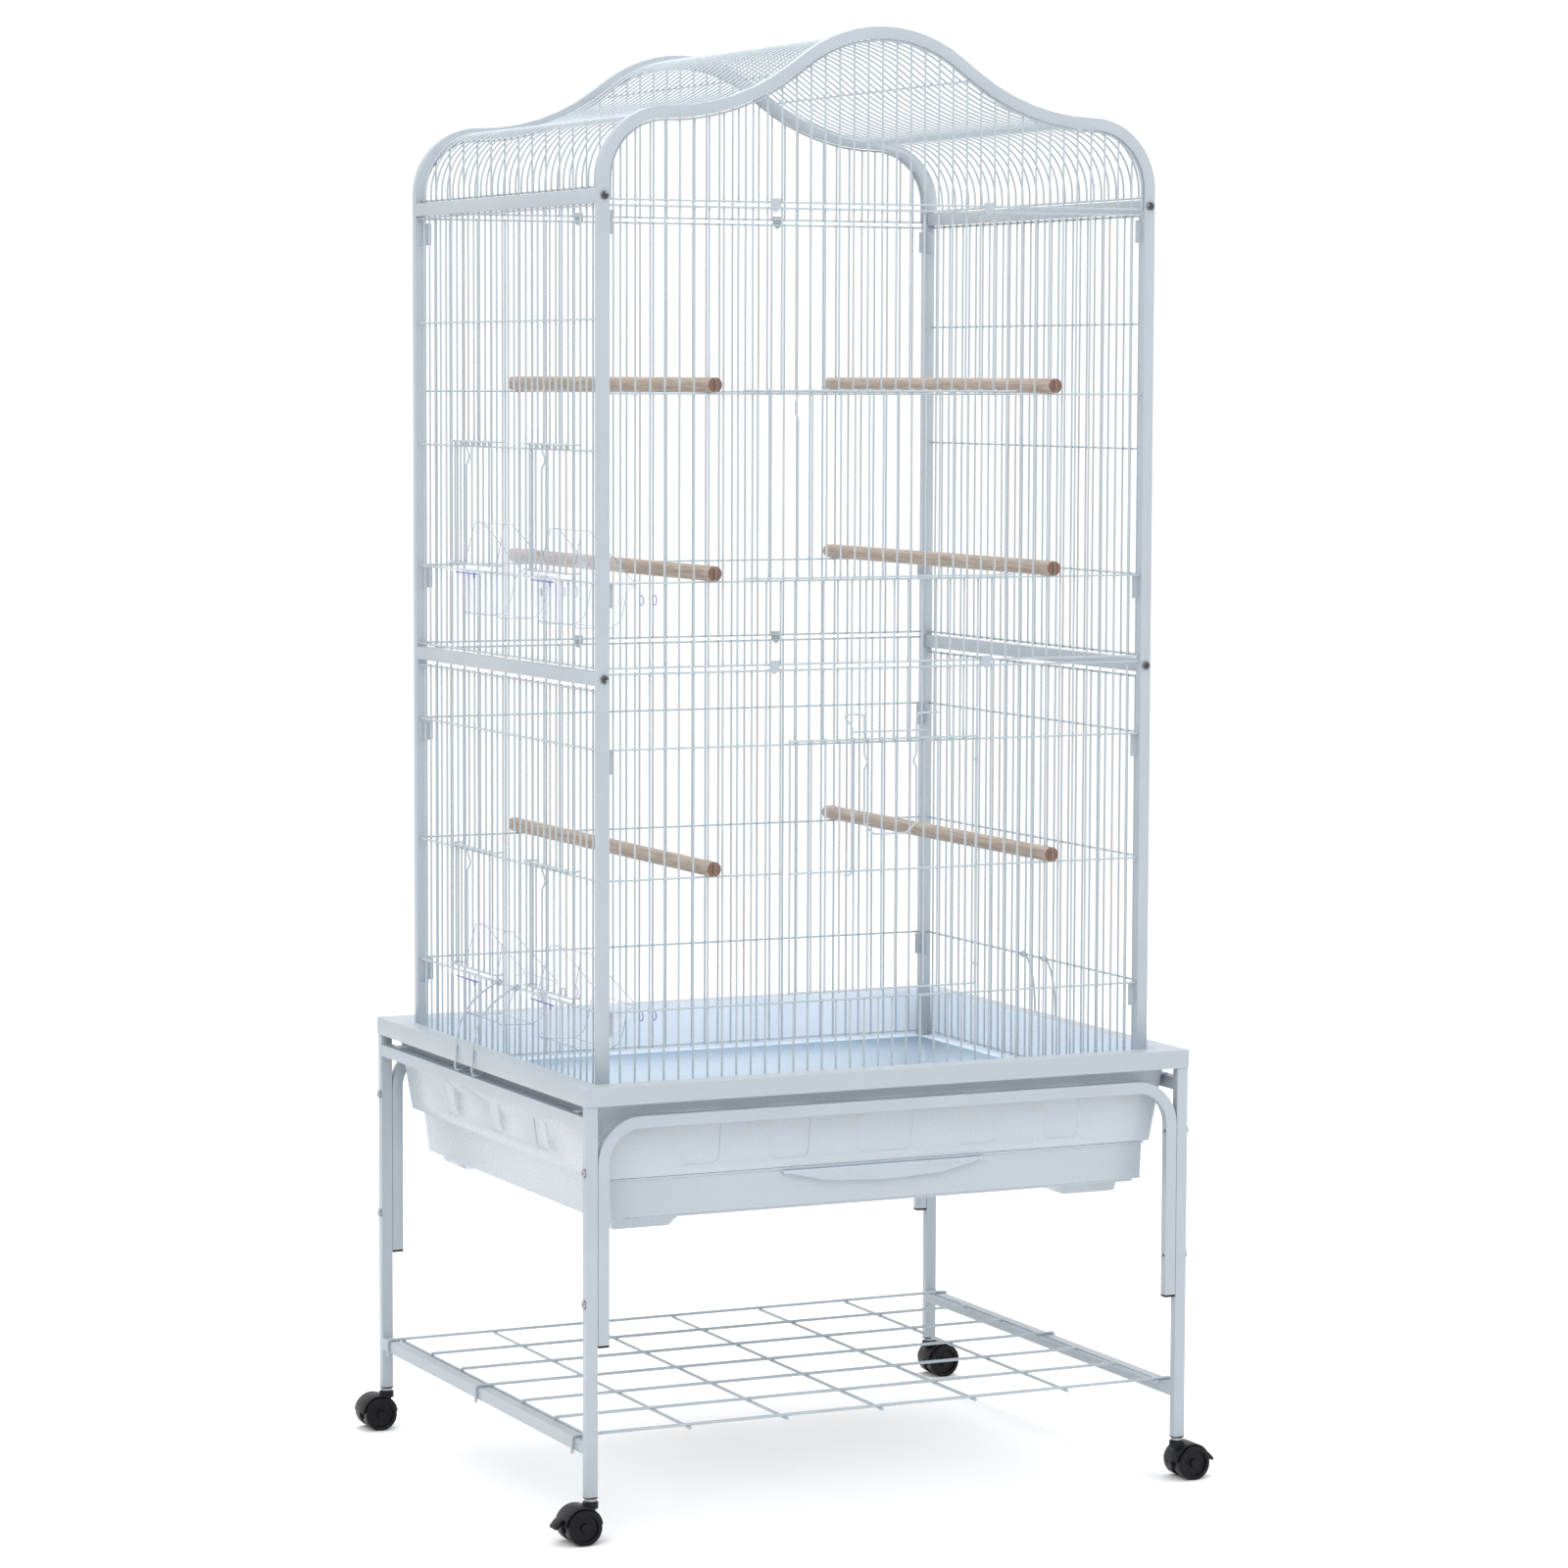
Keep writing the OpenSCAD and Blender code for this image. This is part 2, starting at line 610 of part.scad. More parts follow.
// Welded side frame drawn at the right: two legs and two bars of square tube
module side_frame_shape() {
    leg_top = rim_z - rim_t - 0.3;
    x0 = leg_x - leg_w;
    difference() {
        union() {
            for (y = [-leg_y, leg_y - post_d])
                translate([x0, y, leg_z]) cube([leg_w, post_d, leg_top - leg_z]);
            for (z = [side_bar_z, shelf_z - side_bar_h])
                translate([x0, -leg_y + 1, z]) cube([leg_w, 2 * leg_y - 2, side_bar_h]);
        }
        for (y = [-leg_y, leg_y - post_d]) translate([x0 + tube_wall, y + tube_wall, leg_z - 1])
            cube([leg_w - 2 * tube_wall, post_d - 2 * tube_wall, leg_top - leg_z + 2]);
        for (z = [side_bar_z, shelf_z - side_bar_h])
            translate([x0 + tube_wall, -leg_y + post_d, z + tube_wall])
                cube([leg_w - 2 * tube_wall, 2 * (leg_y - post_d), side_bar_h - 2 * tube_wall]);
        for (sy = [-1, 1], z = u_screw_z) translate([x0 - 1, sy * swivel_y, z]) rotate([0, 90, 0])
            cylinder(d = screw_hole, h = leg_w + 2, $fn = 24);
    }
}
module right_side_frame() { color(coat) side_frame_shape(); }
module left_side_frame() { color(coat) mirror([1, 0, 0]) side_frame_shape(); }

// Outline of a cross tube, t0 to t1 inside its outer edge
module u_band(t0, t1, foot) {
    for (side = [0, 1]) mirror([side, 0]) {
        translate([u_x - t1, foot]) square([t1 - t0, u_top_z - bend_r - foot]);
        translate([u_x - bend_r, u_top_z - bend_r]) ring_sector(bend_r - t1, bend_r - t0, 0, 90);
    }
    translate([-u_x + bend_r, u_top_z - t1]) square([2 * (u_x - bend_r), t1 - t0]);
}
module u_tube(y) {
    color(coat) difference() {
        along_y(y, post_d) u_band(0, u_w, u_foot_z);
        along_y(y + tube_wall, post_d - 2 * tube_wall) u_band(tube_wall, u_w - tube_wall, u_foot_z - 1);
        for (sx = [-1, 1], z = u_screw_z)
            translate([sx * (u_x - u_w / 2) - u_w, y + post_d / 2, z]) rotate([0, 90, 0])
                cylinder(d = screw_hole, h = 2 * u_w, $fn = 24);
    }
}
module front_u_tube() { u_tube(-leg_y); }
module back_u_tube() { u_tube(leg_y - post_d); }

// Black end plugs: blind ones in the cross tubes, and bored ones that hold the caster stems
module tube_plugs() {
    play = 0.1;
    color(black_plastic) for (sx = [-1, 1], sy = [-1, 1]) {
        translate([sx * (u_x - u_w / 2), sy * swivel_y, u_foot_z]) {
            translate([-u_w / 2, -post_d / 2, -2.5]) cube([u_w, post_d, 2.4]);
            translate([-u_w / 2 + tube_wall + play, -post_d / 2 + tube_wall + play, -0.2])
                cube([u_w - 2 * tube_wall - 2 * play, post_d - 2 * tube_wall - 2 * play, 12]);
        }
        translate([sx * swivel_x, sy * swivel_y, leg_z]) difference() {
            union() {
                translate([-leg_w / 2, -post_d / 2, -1.5]) cube([leg_w, post_d, 1.4]);
                translate([-leg_w / 2 + tube_wall + play, -post_d / 2 + tube_wall + play, -0.2])
                    cube([leg_w - 2 * tube_wall - 2 * play, post_d - 2 * tube_wall - 2 * play, 32]);
            }
            translate([0, 0, -3]) cylinder(d = stem_d - 1 + 0.1, h = 40, $fn = 24);
        }
    }
}

// ---- basin and tray ----

tier_z = 383.4;
upper_top = [694, 580];         // outer sizes of the basin's tiers at their top and bottom
upper_foot = [672, 562];
lower_top = [648, 553];
lower_foot = [636, 549];
basin_top_z = 462;
step_z = basin_z + 4;           // underside of the raised strip that the tray slides over
step_y = -250;

module tier(foot, top, z0, z1, inset) {
    slab = 0.1;
    r = 9 - inset;
    hull() {
        translate([0, 0, z0]) linear_extrude(slab)
            round_rect(foot[0] - 2 * inset, foot[1] - 2 * inset, r);
        translate([0, 0, z1 - slab]) linear_extrude(slab)
            round_rect(top[0] - 2 * inset, top[1] - 2 * inset, r);
    }
}
module base_tub() {
    mouth_w = 606;
    foot_outline = [[229, basin_z + 0.5], [241, basin_z - 10], [306, basin_z - 10], [309, basin_z + 0.5]];
    color(white_plastic) {
        difference() {
            union() {
                tier(upper_foot, upper_top, tier_z - basin_wall, basin_top_z, 0);
                tier(lower_foot, lower_top, basin_z, tier_z, 0);
            }
            tier(upper_foot, upper_top, tier_z, basin_top_z + 1, basin_wall);
            difference() {
                tier(lower_foot, lower_top, basin_z + basin_wall, tier_z + 1, basin_wall);
                translate([-400, -400, basin_z]) cube([800, 400 + step_y, step_z + basin_wall - basin_z]);
            }
            translate([-400, -400, basin_z - 1]) cube([800, 400 + step_y - basin_wall, step_z - basin_z + 1]);
            translate([-mouth_w / 2, -300, step_z + basin_wall])
                cube([mouth_w, 38, tier_z - 3.5 - step_z - basin_wall]);
        }
        for (sx = [-1, 1]) translate([sx * 200 - 2, step_y + 1, basin_z + 1])
            cube([4, 500, step_z + basin_wall - basin_z - 1]);
        for (sx = [0, 1], sy = [0, 1]) mirror([sx, 0, 0]) mirror([0, sy, 0])
            translate([0, 178, 0]) rotate([90, 0, 0]) mirror([0, 0, 1]) linear_extrude(70)
                polygon(foot_outline);
        for (sx = [-1, 1], sy = [-1, 1])
            translate([sx * 351 - 7, sy * 269 - 7, side_bar_z + side_bar_h + 0.2]) cube([14, 14, 1.6]);
    }
}

tray_half = 300;
tray_back = 252;
tray_floor = step_z + basin_wall + 0.6;
tray_top = 376;
module pull_out_tray() {
    wall = 2;
    front_y = -280;
    front_t = 2.5;
    color(white_plastic) {
        difference() {
            translate([-tray_half, front_y + 1, tray_floor])
                cube([2 * tray_half, tray_back - front_y - 1, tray_top - tray_floor]);
            translate([-tray_half + wall, front_y + front_t, tray_floor + wall])
                cube([2 * (tray_half - wall), tray_back - front_y - front_t - wall, tray_top]);
        }
        translate([0, front_y + front_t, 0]) rotate([90, 0, 0]) linear_extrude(front_t)
            polygon([[-321, tray_floor + 0.8], [321, tray_floor + 0.8], [323, 378.6], [-323, 378.6]]);
        translate([-325, front_y - 1.5, 378.3]) cube([650, front_t + 1.5, 2.1]);
        translate([-122, front_y - 7, 374]) cube([244, 8, 2.5]);
        translate([0, front_y - 5.5, 0]) rotate([90, 0, 0]) linear_extrude(1.5)
            polygon([[-122, 376], [122, 376], [70, 364], [0, 360.5], [-70, 364]]);
    }
}

// ---- shelf ----

module wire_shelf() {
    long_n = 3;
    cross_n = 3;
    span_y = 278;
    step_y = span_y / long_n;
    step_x = 115;
    long_z = shelf_z + shelf_wire_d / 2 + 0.1;
    cross_w = shelf_wire_d * sqrt(PI) / 2;
    over = leg_x + shelf_wire_d / 2 + 0.6;
    short_end = cross_n * step_x + 3;
    color(coat) {
        for (k = [-long_n:long_n]) {
            end = k % long_n == 0 ? over : short_end;
            drop = k % long_n == 0 ? side_bar_h + 6 : 7;
            bent_wire([[-end, k * step_y, long_z - drop], [-end, k * step_y, long_z],
                [end, k * step_y, long_z], [end, k * step_y, long_z - drop]], shelf_wire_d);
        }
        for (k = [-cross_n:cross_n])
            translate([k * step_x - cross_w / 2, -span_y - 6, long_z - shelf_wire_d / 2 + weld - cross_w])
                cube([cross_w, 2 * span_y + 12, cross_w]);
    }
}

// ---- rim hooks ----

hook_d = 2.4;
// Pair of hooks drawn on the left, each with its eye round the lowest full cross wire
module hook_pair() {
    eye_r = hook_d / 2 + cross_t * 0.71 + 0.4;
    px = -hx + side_in - cross_out;
    rim = -rim_x - hook_d / 2 - 0.9;
    low = rim_z - skirt_h - 2;
    color(zinc) for (y = hook_y) {
        translate([px, y, rail_1]) rotate([90, 0, 0]) rotate_extrude($fn = 32)
            translate([eye_r, 0]) circle(d = hook_d, $fn = 10);
        bow = [for (f = [0, 0.1, 0.22, 0.36, 0.52, 0.7, 0.9]) let (g = 1 - pow(1 - f, 3.2))
            [px - eye_r + g * (rim - px + eye_r), y + 38 * g, rail_1 - f * (rail_1 - low)]];
        bent_wire(concat(bow, [[rim - 1, y + 38, low - 1], [rim + 0.5, y + 38, low - 6.5],
            [rim + 17, y + 38, low - 4.4]]), hook_d, 10);
    }
}
module left_rim_hooks() { hook_pair(); }
module right_rim_hooks() { mirror([1, 0, 0]) hook_pair(); }

// ---- casters ----

axle_d = 5;
axle_z = wheel_d / 2;
hood_r = wheel_d / 2 + 2.6;
hood_top = 43;
stem_z = 34.5;                  // lower end of the stems
web_w = 7;
wheel_w = 15;
wheel_gap = 0.6;
boss_d = 15;
bore_play = 0.1;                // on the diameter of each running fit

module caster_stems() {
    color(zinc) for (sx = [-1, 1], sy = [-1, 1]) translate([sx * swivel_x, sy * swivel_y, 0]) {
        translate([0, 0, stem_z]) cylinder(d = stem_d, h = hood_top + 0.5 - stem_z, $fn = fine);
        translate([0, 0, hood_top + 0.4]) cylinder(d = 13, h = leg_z - 1.9 - hood_top, $fn = fine);
        translate([0, 0, leg_z - 2]) cylinder(d = stem_d - 1, h = 28, $fn = fine);
    }
}

// Caster drawn with its swivel axis at the origin and its wheels towards +X
module hood_shape() {
    difference() {
        union() {
            translate([trail, 0, axle_z]) rotate([90, 0, 0])
                linear_extrude(30, center = true) intersection() {
                difference() {
                    circle(r = hood_r, $fn = 96);
                    circle(r = wheel_d / 2 + wheel_gap, $fn = 96);
                }
                translate([-hood_r, 2]) square([2 * hood_r, hood_r]);
            }
            translate([trail, web_w / 2, axle_z]) rotate([90, 0, 0]) linear_extrude(web_w) intersection() {
                circle(r = hood_r, $fn = 96);
                translate([-hood_r, -7]) square([2 * hood_r, hood_r + 7]);
            }
            translate([0, 0, 24]) cylinder(d = boss_d - 4, h = hood_top - 24, $fn = fine);
            translate([0, 0, 36]) cylinder(d = boss_d + 2, h = hood_top - 36, $fn = fine);
        }
        translate([0, 0, stem_z - 0.3]) cylinder(d = stem_d + bore_play, h = 20, $fn = fine);
        translate([trail, 25, axle_z]) rotate([90, 0, 0])
            cylinder(d = axle_d + bore_play, h = 50, $fn = fine);
        for (sy = [-1, 1]) translate([trail, sy * (web_w / 2 + wheel_gap / 2 + 10), axle_z])
            rotate([90, 0, 0]) cylinder(r = wheel_d / 2 + wheel_gap, h = 20, center = true, $fn = 96);
    }
}
module wheels_shape() {
    inner = web_w / 2 + wheel_gap;
    translate([trail, 0, axle_z]) rotate([90, 0, 0]) {
        cylinder(d = axle_d, h = 2 * inner + 4, center = true, $fn = fine);
        for (s = [0, 1]) mirror([0, 0, s]) translate([0, 0, inner]) difference() {
            cylinder(d = wheel_d, h = wheel_w, $fn = 96);
            translate([0, 0, wheel_w - 4]) difference() {
                cylinder(d = wheel_d - 9, h = 5, $fn = 96);
                translate([0, 0, -1]) cylinder(d = 10, h = 7, $fn = fine);
            }
        }
    }
}
module brake_shape() {
    x0 = trail + hood_r + 0.4;
    translate([0, 8, 0]) rotate([90, 0, 0]) linear_extrude(16)
        polygon([[x0, axle_z + 9], [x0 + 3, axle_z + 8], [x0 + 8.6, axle_z + 1.5], [x0 + 8.6, axle_z - 1],
            [x0 + 6, axle_z - 1], [x0 + 0.4, axle_z + 3]]);
}

// Places a caster part under a leg: sx and sy are the corner
module at_corner(sx, sy) {
    translate([sx * swivel_x, sy * swivel_y, 0]) mirror([sx < 0 ? 1 : 0, 0, 0]) children();
}

module front_left_hood() { color(black_plastic) at_corner(-1, -1) hood_shape(); }
module front_right_hood() { color(black_plastic) at_corner(1, -1) hood_shape(); }
module back_left_hood() { color(black_plastic) at_corner(-1, 1) hood_shape(); }
module back_right_hood() { color(black_plastic) at_corner(1, 1) hood_shape(); }
module front_left_wheels() { color(black_plastic) at_corner(-1, -1) wheels_shape(); }
module front_right_wheels() { color(black_plastic) at_corner(1, -1) wheels_shape(); }
module back_left_wheels() { color(black_plastic) at_corner(-1, 1) wheels_shape(); }
module back_right_wheels() { color(black_plastic) at_corner(1, 1) wheels_shape(); }
module front_left_brake() { color(black_plastic) at_corner(-1, -1) brake_shape(); }
module front_right_brake() { color(black_plastic) at_corner(1, -1) brake_shape(); }

// ---- the assembly ----

front_arch();
back_arch();
front_left_post();
front_right_post();
back_left_post();
back_right_post();
left_top_bar();
right_top_bar();
left_mid_bar();
right_mid_bar();
frame_screws();
joint_sleeves();
front_gable();
back_gable();
roof_panel();
front_upper_panel();
front_lower_panel();
back_upper_panel();
back_lower_panel();
left_upper_panel();
left_lower_panel();
right_upper_panel();
right_lower_panel();
panel_clips();
upper_door();
lower_door();
lower_door_latch();
upper_front_feeder_door();
upper_back_feeder_door();
lower_front_feeder_door();
lower_back_feeder_door();
upper_front_feeder();
upper_back_feeder();
lower_front_feeder();
lower_back_feeder();
top_perches();
middle_perches();
low_perches();
rim_frame();
left_side_frame();
right_side_frame();
front_u_tube();
back_u_tube();
tube_plugs();
base_tub();
pull_out_tray();
wire_shelf();
left_rim_hooks();
right_rim_hooks();
caster_stems();
front_left_hood();
front_right_hood();
back_left_hood();
back_right_hood();
front_left_wheels();
front_right_wheels();
back_left_wheels();
back_right_wheels();
front_left_brake();
front_right_brake();
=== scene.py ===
import math
import random

import bmesh
import bpy
from mathutils import Matrix, Vector


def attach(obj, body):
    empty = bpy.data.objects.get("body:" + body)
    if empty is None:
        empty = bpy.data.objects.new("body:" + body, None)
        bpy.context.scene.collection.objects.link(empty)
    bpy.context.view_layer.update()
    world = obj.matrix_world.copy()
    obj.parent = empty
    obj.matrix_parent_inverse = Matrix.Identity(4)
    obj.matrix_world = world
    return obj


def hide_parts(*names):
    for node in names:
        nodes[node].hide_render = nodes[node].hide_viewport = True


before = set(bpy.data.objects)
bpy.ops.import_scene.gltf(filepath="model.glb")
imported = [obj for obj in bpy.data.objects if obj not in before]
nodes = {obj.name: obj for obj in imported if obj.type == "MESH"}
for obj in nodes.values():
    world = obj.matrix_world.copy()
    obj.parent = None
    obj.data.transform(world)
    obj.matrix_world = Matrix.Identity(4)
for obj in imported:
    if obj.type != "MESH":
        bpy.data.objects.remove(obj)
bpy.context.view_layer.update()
MM = 0.001
rng = random.Random(7)

# ---- the cage's dimensions, in millimetres, as the CAD has them ----
HX, HY = 333.0, 272.0           # outer faces of the corner posts
POST_W, POST_D = 12.7, 10.0
WIRE, PITCH = 2.2, 17.0
CROSS_OUT = 1.825               # from an upright's middle to the cross wire's
JOINT = 1412.0
RAIL = [0, 558.0, 698.0, 837.0, 1013.0, 1152.0, 1290.0]
DOOR_TOP, LOW_TOP, HIGH_LOW = 1212.5, 917.0, 923.5
HIGH_TOP, GABLE, ROOF = 1409.0, 1415.5, 1428.5
RIM, LEDGE = 485.0, 431.0
SCREW_Z = (JOINT + 7, 912.35)
FOOT = LEDGE + 6
FRONT_HALF, SIDE_HALF = HX - POST_W - 0.5, HY - POST_D - 0.5
FRONT_XS = [n * PITCH for n in range(-18, 19)]
SIDE_XS = [(n + 0.5) * PITCH for n in range(-15, 15)]
FEEDER_Y = {"back": 85.0, "front": -136.0}
FEEDER_RAIL = {"upper": RAIL[4], "lower": RAIL[1]}
SPAN = 7 * PITCH
FRONT_PLANE, SIDE_PLANE = HY - 5, HX - 4.5      # the middle of the panels' uprights
UPPER_HALF, LOWER_HALF = 9 * PITCH, 7 * PITCH   # half widths of the front doorways
BAR = 1.95                                      # side of the CAD's square cross wires
GUIDE_R, HOOK_R, SHELF_R = 0.95, 1.2, 1.75      # radii of the guide, hook and shelf wires
GUIDE_BEND = 3.5
SKIRT_X, SKIRT_H = 365, 20                      # the rim's skirt: outer face and height

CROWN_R, VALLEY_R, SLOPE, RUN = 160.0, 243.0, math.radians(36), 23.5
SHOULDER_X = (CROWN_R + VALLEY_R) * math.sin(SLOPE) + RUN * math.cos(SLOPE)
SHOULDER_Z = JOINT + 24.5
SHOULDER_R = HX - SHOULDER_X
VALLEY_Z = SHOULDER_Z + SHOULDER_R + VALLEY_R
CROWN_Z = (SHOULDER_Z + SHOULDER_R + (CROWN_R + VALLEY_R) * (1 - math.cos(SLOPE))
           + RUN * math.sin(SLOPE) - CROWN_R)


def arc(x, z, r, a0, a1, steps):
    """Points on a circle about (x, z), from angle a0 to a1 in degrees."""
    out = []
    for i in range(steps + 1):
        a = math.radians(a0 + (a1 - a0) * i / steps)
        out.append((x + r * math.cos(a), z + r * math.sin(a)))
    return out


def crown_line(t, foot):
    """The crown's outline, t inside its outer face, from the left foot to the right one."""
    half = arc(0, CROWN_Z, CROWN_R - t, 90, 54, 12)
    half += arc(SHOULDER_X, VALLEY_Z, VALLEY_R + t, 234, 270, 12)
    half += arc(SHOULDER_X, SHOULDER_Z, SHOULDER_R - t, 90, 0, 18) + [(HX - t, foot)]
    return [(-x, z) for x, z in reversed(half[1:])] + half


def crown_height(x, t):
    """Height of the crown's outline at x, t inside its outer face."""
    a = abs(x)
    x1 = (CROWN_R - t) * math.sin(SLOPE)
    x2 = SHOULDER_X - (VALLEY_R + t) * math.sin(SLOPE)
    if a <= x1:
        return CROWN_Z + math.sqrt((CROWN_R - t) ** 2 - a * a)
    if a <= x2:
        return CROWN_Z + (CROWN_R - t) * math.cos(SLOPE) - (a - x1) * math.tan(SLOPE)
    if a <= SHOULDER_X:
        return VALLEY_Z - math.sqrt((VALLEY_R + t) ** 2 - (a - SHOULDER_X) ** 2)
    return SHOULDER_Z + math.sqrt((SHOULDER_R - t) ** 2 - (a - SHOULDER_X) ** 2)


# ---- mesh helpers ----

class Shape:
    """The faces of one piece, in millimetres."""

    def __init__(self):
        self.verts, self.faces = [], []

    def add(self, verts, faces):
        n = len(self.verts)
        self.verts += [Vector(v) for v in verts]
        self.faces += [[i + n for i in f] for f in faces]

    def piece(self, name, mats, place=None, angle=40, replaces=(), body="cage", slot=None):
        mesh = bpy.data.meshes.new(name)
        place = place or Matrix.Identity(4)
        mesh.from_pydata([tuple((place @ v) * MM) for v in self.verts], [], self.faces)
        for m in mats:
            mesh.materials.append(m)
        mesh.polygons.foreach_set("use_smooth", [True] * len(mesh.polygons))
        mesh.set_sharp_from_angle(angle=math.radians(angle))
        obj = bpy.data.objects.new(name, mesh)
        bpy.context.scene.collection.objects.link(obj)
        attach(obj, body)
        if replaces:
            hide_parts(*replaces)
        return obj


def rounded(points, radius, steps=5):
    """The same path with each inner corner turned into an arc."""
    pts = [Vector(p) for p in points]
    out = [pts[0]]
    for i in range(1, len(pts) - 1):
        a, b = pts[i - 1] - pts[i], pts[i + 1] - pts[i]
        la, lb = a.length, b.length
        turn = math.pi - a.angle(b)
        if turn < 0.03:
            out.append(pts[i])
            continue
        cut = min(radius * math.tan(turn / 2), 0.48 * la, 0.48 * lb)
        p, q = pts[i] + a / la * cut, pts[i] + b / lb * cut
        for k in range(steps + 1):
            t = k / steps
            out.append(p * (1 - t) ** 2 + pts[i] * 2 * t * (1 - t) + q * t * t)
    return out + [pts[-1]]


def wire(shape, points, r, sides=8, bend=0, closed=False, swell=None):
    """Sweeps a round wire with domed ends along points. swell gives a radius factor for each point."""
    pts = rounded(points, bend) if bend else [Vector(p) for p in points]
    n = len(pts)
    sizes = list(swell) if swell else [1.0] * n
    tangents = []
    for i in range(n):
        a = pts[(i - 1) % n] if closed or i else pts[0]
        b = pts[(i + 1) % n] if closed or i < n - 1 else pts[-1]
        tangents.append((b - a).normalized())
    side = tangents[0].orthogonal().normalized()
    if abs(tangents[0].z) > 0.99:
        side = Vector((1, 0, 0))
    rings = []
    for i in range(n):
        t = tangents[i]
        side = (side - t * side.dot(t)).normalized()
        rings.append((pts[i], t, side, sizes[i]))
    if not closed:
        p, t, s, k = rings[0]
        rings[0:1] = [(p, t, s, 0.45 * k), (p + t * 0.16 * r, t, s, 0.8 * k), (p + t * 0.55 * r, t, s, k)]
        p, t, s, k = rings[-1]
        rings[-1:] = [(p - t * 0.55 * r, t, s, k), (p - t * 0.16 * r, t, s, 0.8 * k), (p, t, s, 0.45 * k)]
    verts, faces = [], []
    for p, t, s, k in rings:
        up = t.cross(s)
        for j in range(sides):
            a = 2 * math.pi * (j + 0.5) / sides
            verts.append(p + (s * math.cos(a) + up * math.sin(a)) * r * k)
    m = len(rings)
    for i in range(m if closed else m - 1):
        k = (i + 1) % m
        for j in range(sides):
            l = (j + 1) % sides
            faces.append([i * sides + j, i * sides + l, k * sides + l, k * sides + j])
    if not closed:
        faces.append(list(range(sides))[::-1])
        faces.append(list(range((m - 1) * sides, m * sides)))
    shape.add(verts, faces)


def along(a, b, crossings, swell=1.22, reach=1.3):
    """Points from a to b with a slight swelling at each crossing, for the welded wires."""
    a, b = Vector(a), Vector(b)
    length = (b - a).length
    d = (b - a) / length
    pts, sizes = [a], [1.0]
    for c in sorted(crossings):
        if c < 2 * reach + 2 or c > length - 2 * reach - 2:
            continue
        for off, k in ((-reach * 1.5, 1.0), (-reach * 0.5, swell), (reach * 0.5, swell), (reach * 1.5, 1.0)):
            pts.append(a + d * (c + off))
            sizes.append(k)
    return pts + [b], sizes + [1.0]


def straight(shape, a, b, r=WIRE / 2, wobble=0.16):
    """A straight wire with the slight unevenness of drawn wire."""
    a, b = Vector(a), Vector(b)
    steps = max(2, int((b - a).length / 90))
    pts = [a.lerp(b, i / steps) for i in range(steps + 1)]
    for p in pts[1:-1]:
        p.x += rng.uniform(-wobble, wobble)
        p.y += rng.uniform(-wobble, wobble) * 0.5
    wire(shape, pts, r)


FRONT = Matrix.Translation((0, -FRONT_PLANE, 0))
BACK = Matrix.Translation((0, FRONT_PLANE, 0)) @ Matrix.Rotation(math.pi, 4, "Z")
LEFT = Matrix.Translation((-SIDE_PLANE, 0, 0)) @ Matrix.Rotation(-math.pi / 2, 4, "Z")
RIGHT = Matrix.Translation((SIDE_PLANE, 0, 0)) @ Matrix.Rotation(math.pi / 2, 4, "Z")


def grid(xs, rails, half, openings=()):
    """A welded wire panel in the plane y = 0, its cross wires towards -Y."""
    s = Shape()
    low, high = min(rails) - 2, max(rails) + 2
    for x in xs:
        hole = next((o for o in openings if o[0] + 1 < x < o[1] - 1), None)
        if hole:
            straight(s, (x, 0, low), (x, 0, hole[2] + 1.1))
            straight(s, (x, 0, hole[3] - 1.1), (x, 0, high))
        else:
            straight(s, (x, 0, low), (x, 0, high))
    for z in rails:
        ends = [-half]
        for o in sorted(openings):
            if o[2] + 1 < z < o[3] - 1:
                ends += [o[0] + 1.1, o[1] - 1.1]
        ends.append(half)
        for a, b in zip(ends[::2], ends[1::2]):
            pts, sizes = along((a, -CROSS_OUT, z), (b, -CROSS_OUT, z), [x - a for x in xs if a < x < b])
            wire(s, pts, WIRE / 2, swell=sizes)
    return s


def cut_away(bm, cutters):
    """Takes closed prisms [(near ring, far ring), ...] in millimetres out of the mesh."""
    objs = []
    for label in ("work", "tool"):
        mesh = bpy.data.meshes.new(label)
        obj = bpy.data.objects.new(label, mesh)
        bpy.context.scene.collection.objects.link(obj)
        objs.append(obj)
    bm.to_mesh(objs[0].data)
    tool = bmesh.new()
    for near, far in cutters:
        a = [tool.verts.new(Vector(p) * MM) for p in near]
        b = [tool.verts.new(Vector(p) * MM) for p in far]
        tool.faces.new(a)
        tool.faces.new(b[::-1])
        for i in range(len(a)):
            k = (i + 1) % len(a)
            tool.faces.new((a[k], a[i], b[i], b[k]))
    bmesh.ops.recalc_face_normals(tool, faces=tool.faces)
    tool.to_mesh(objs[1].data)
    tool.free()
    cut = objs[0].modifiers.new("cut", "BOOLEAN")
    cut.operation, cut.object, cut.solver = "DIFFERENCE", objs[1], "EXACT"
    done = objs[0].evaluated_get(bpy.context.evaluated_depsgraph_get()).to_mesh()
    bm.clear()
    bm.from_mesh(done)
    for obj in objs:
        bpy.data.meshes.remove(obj.data)


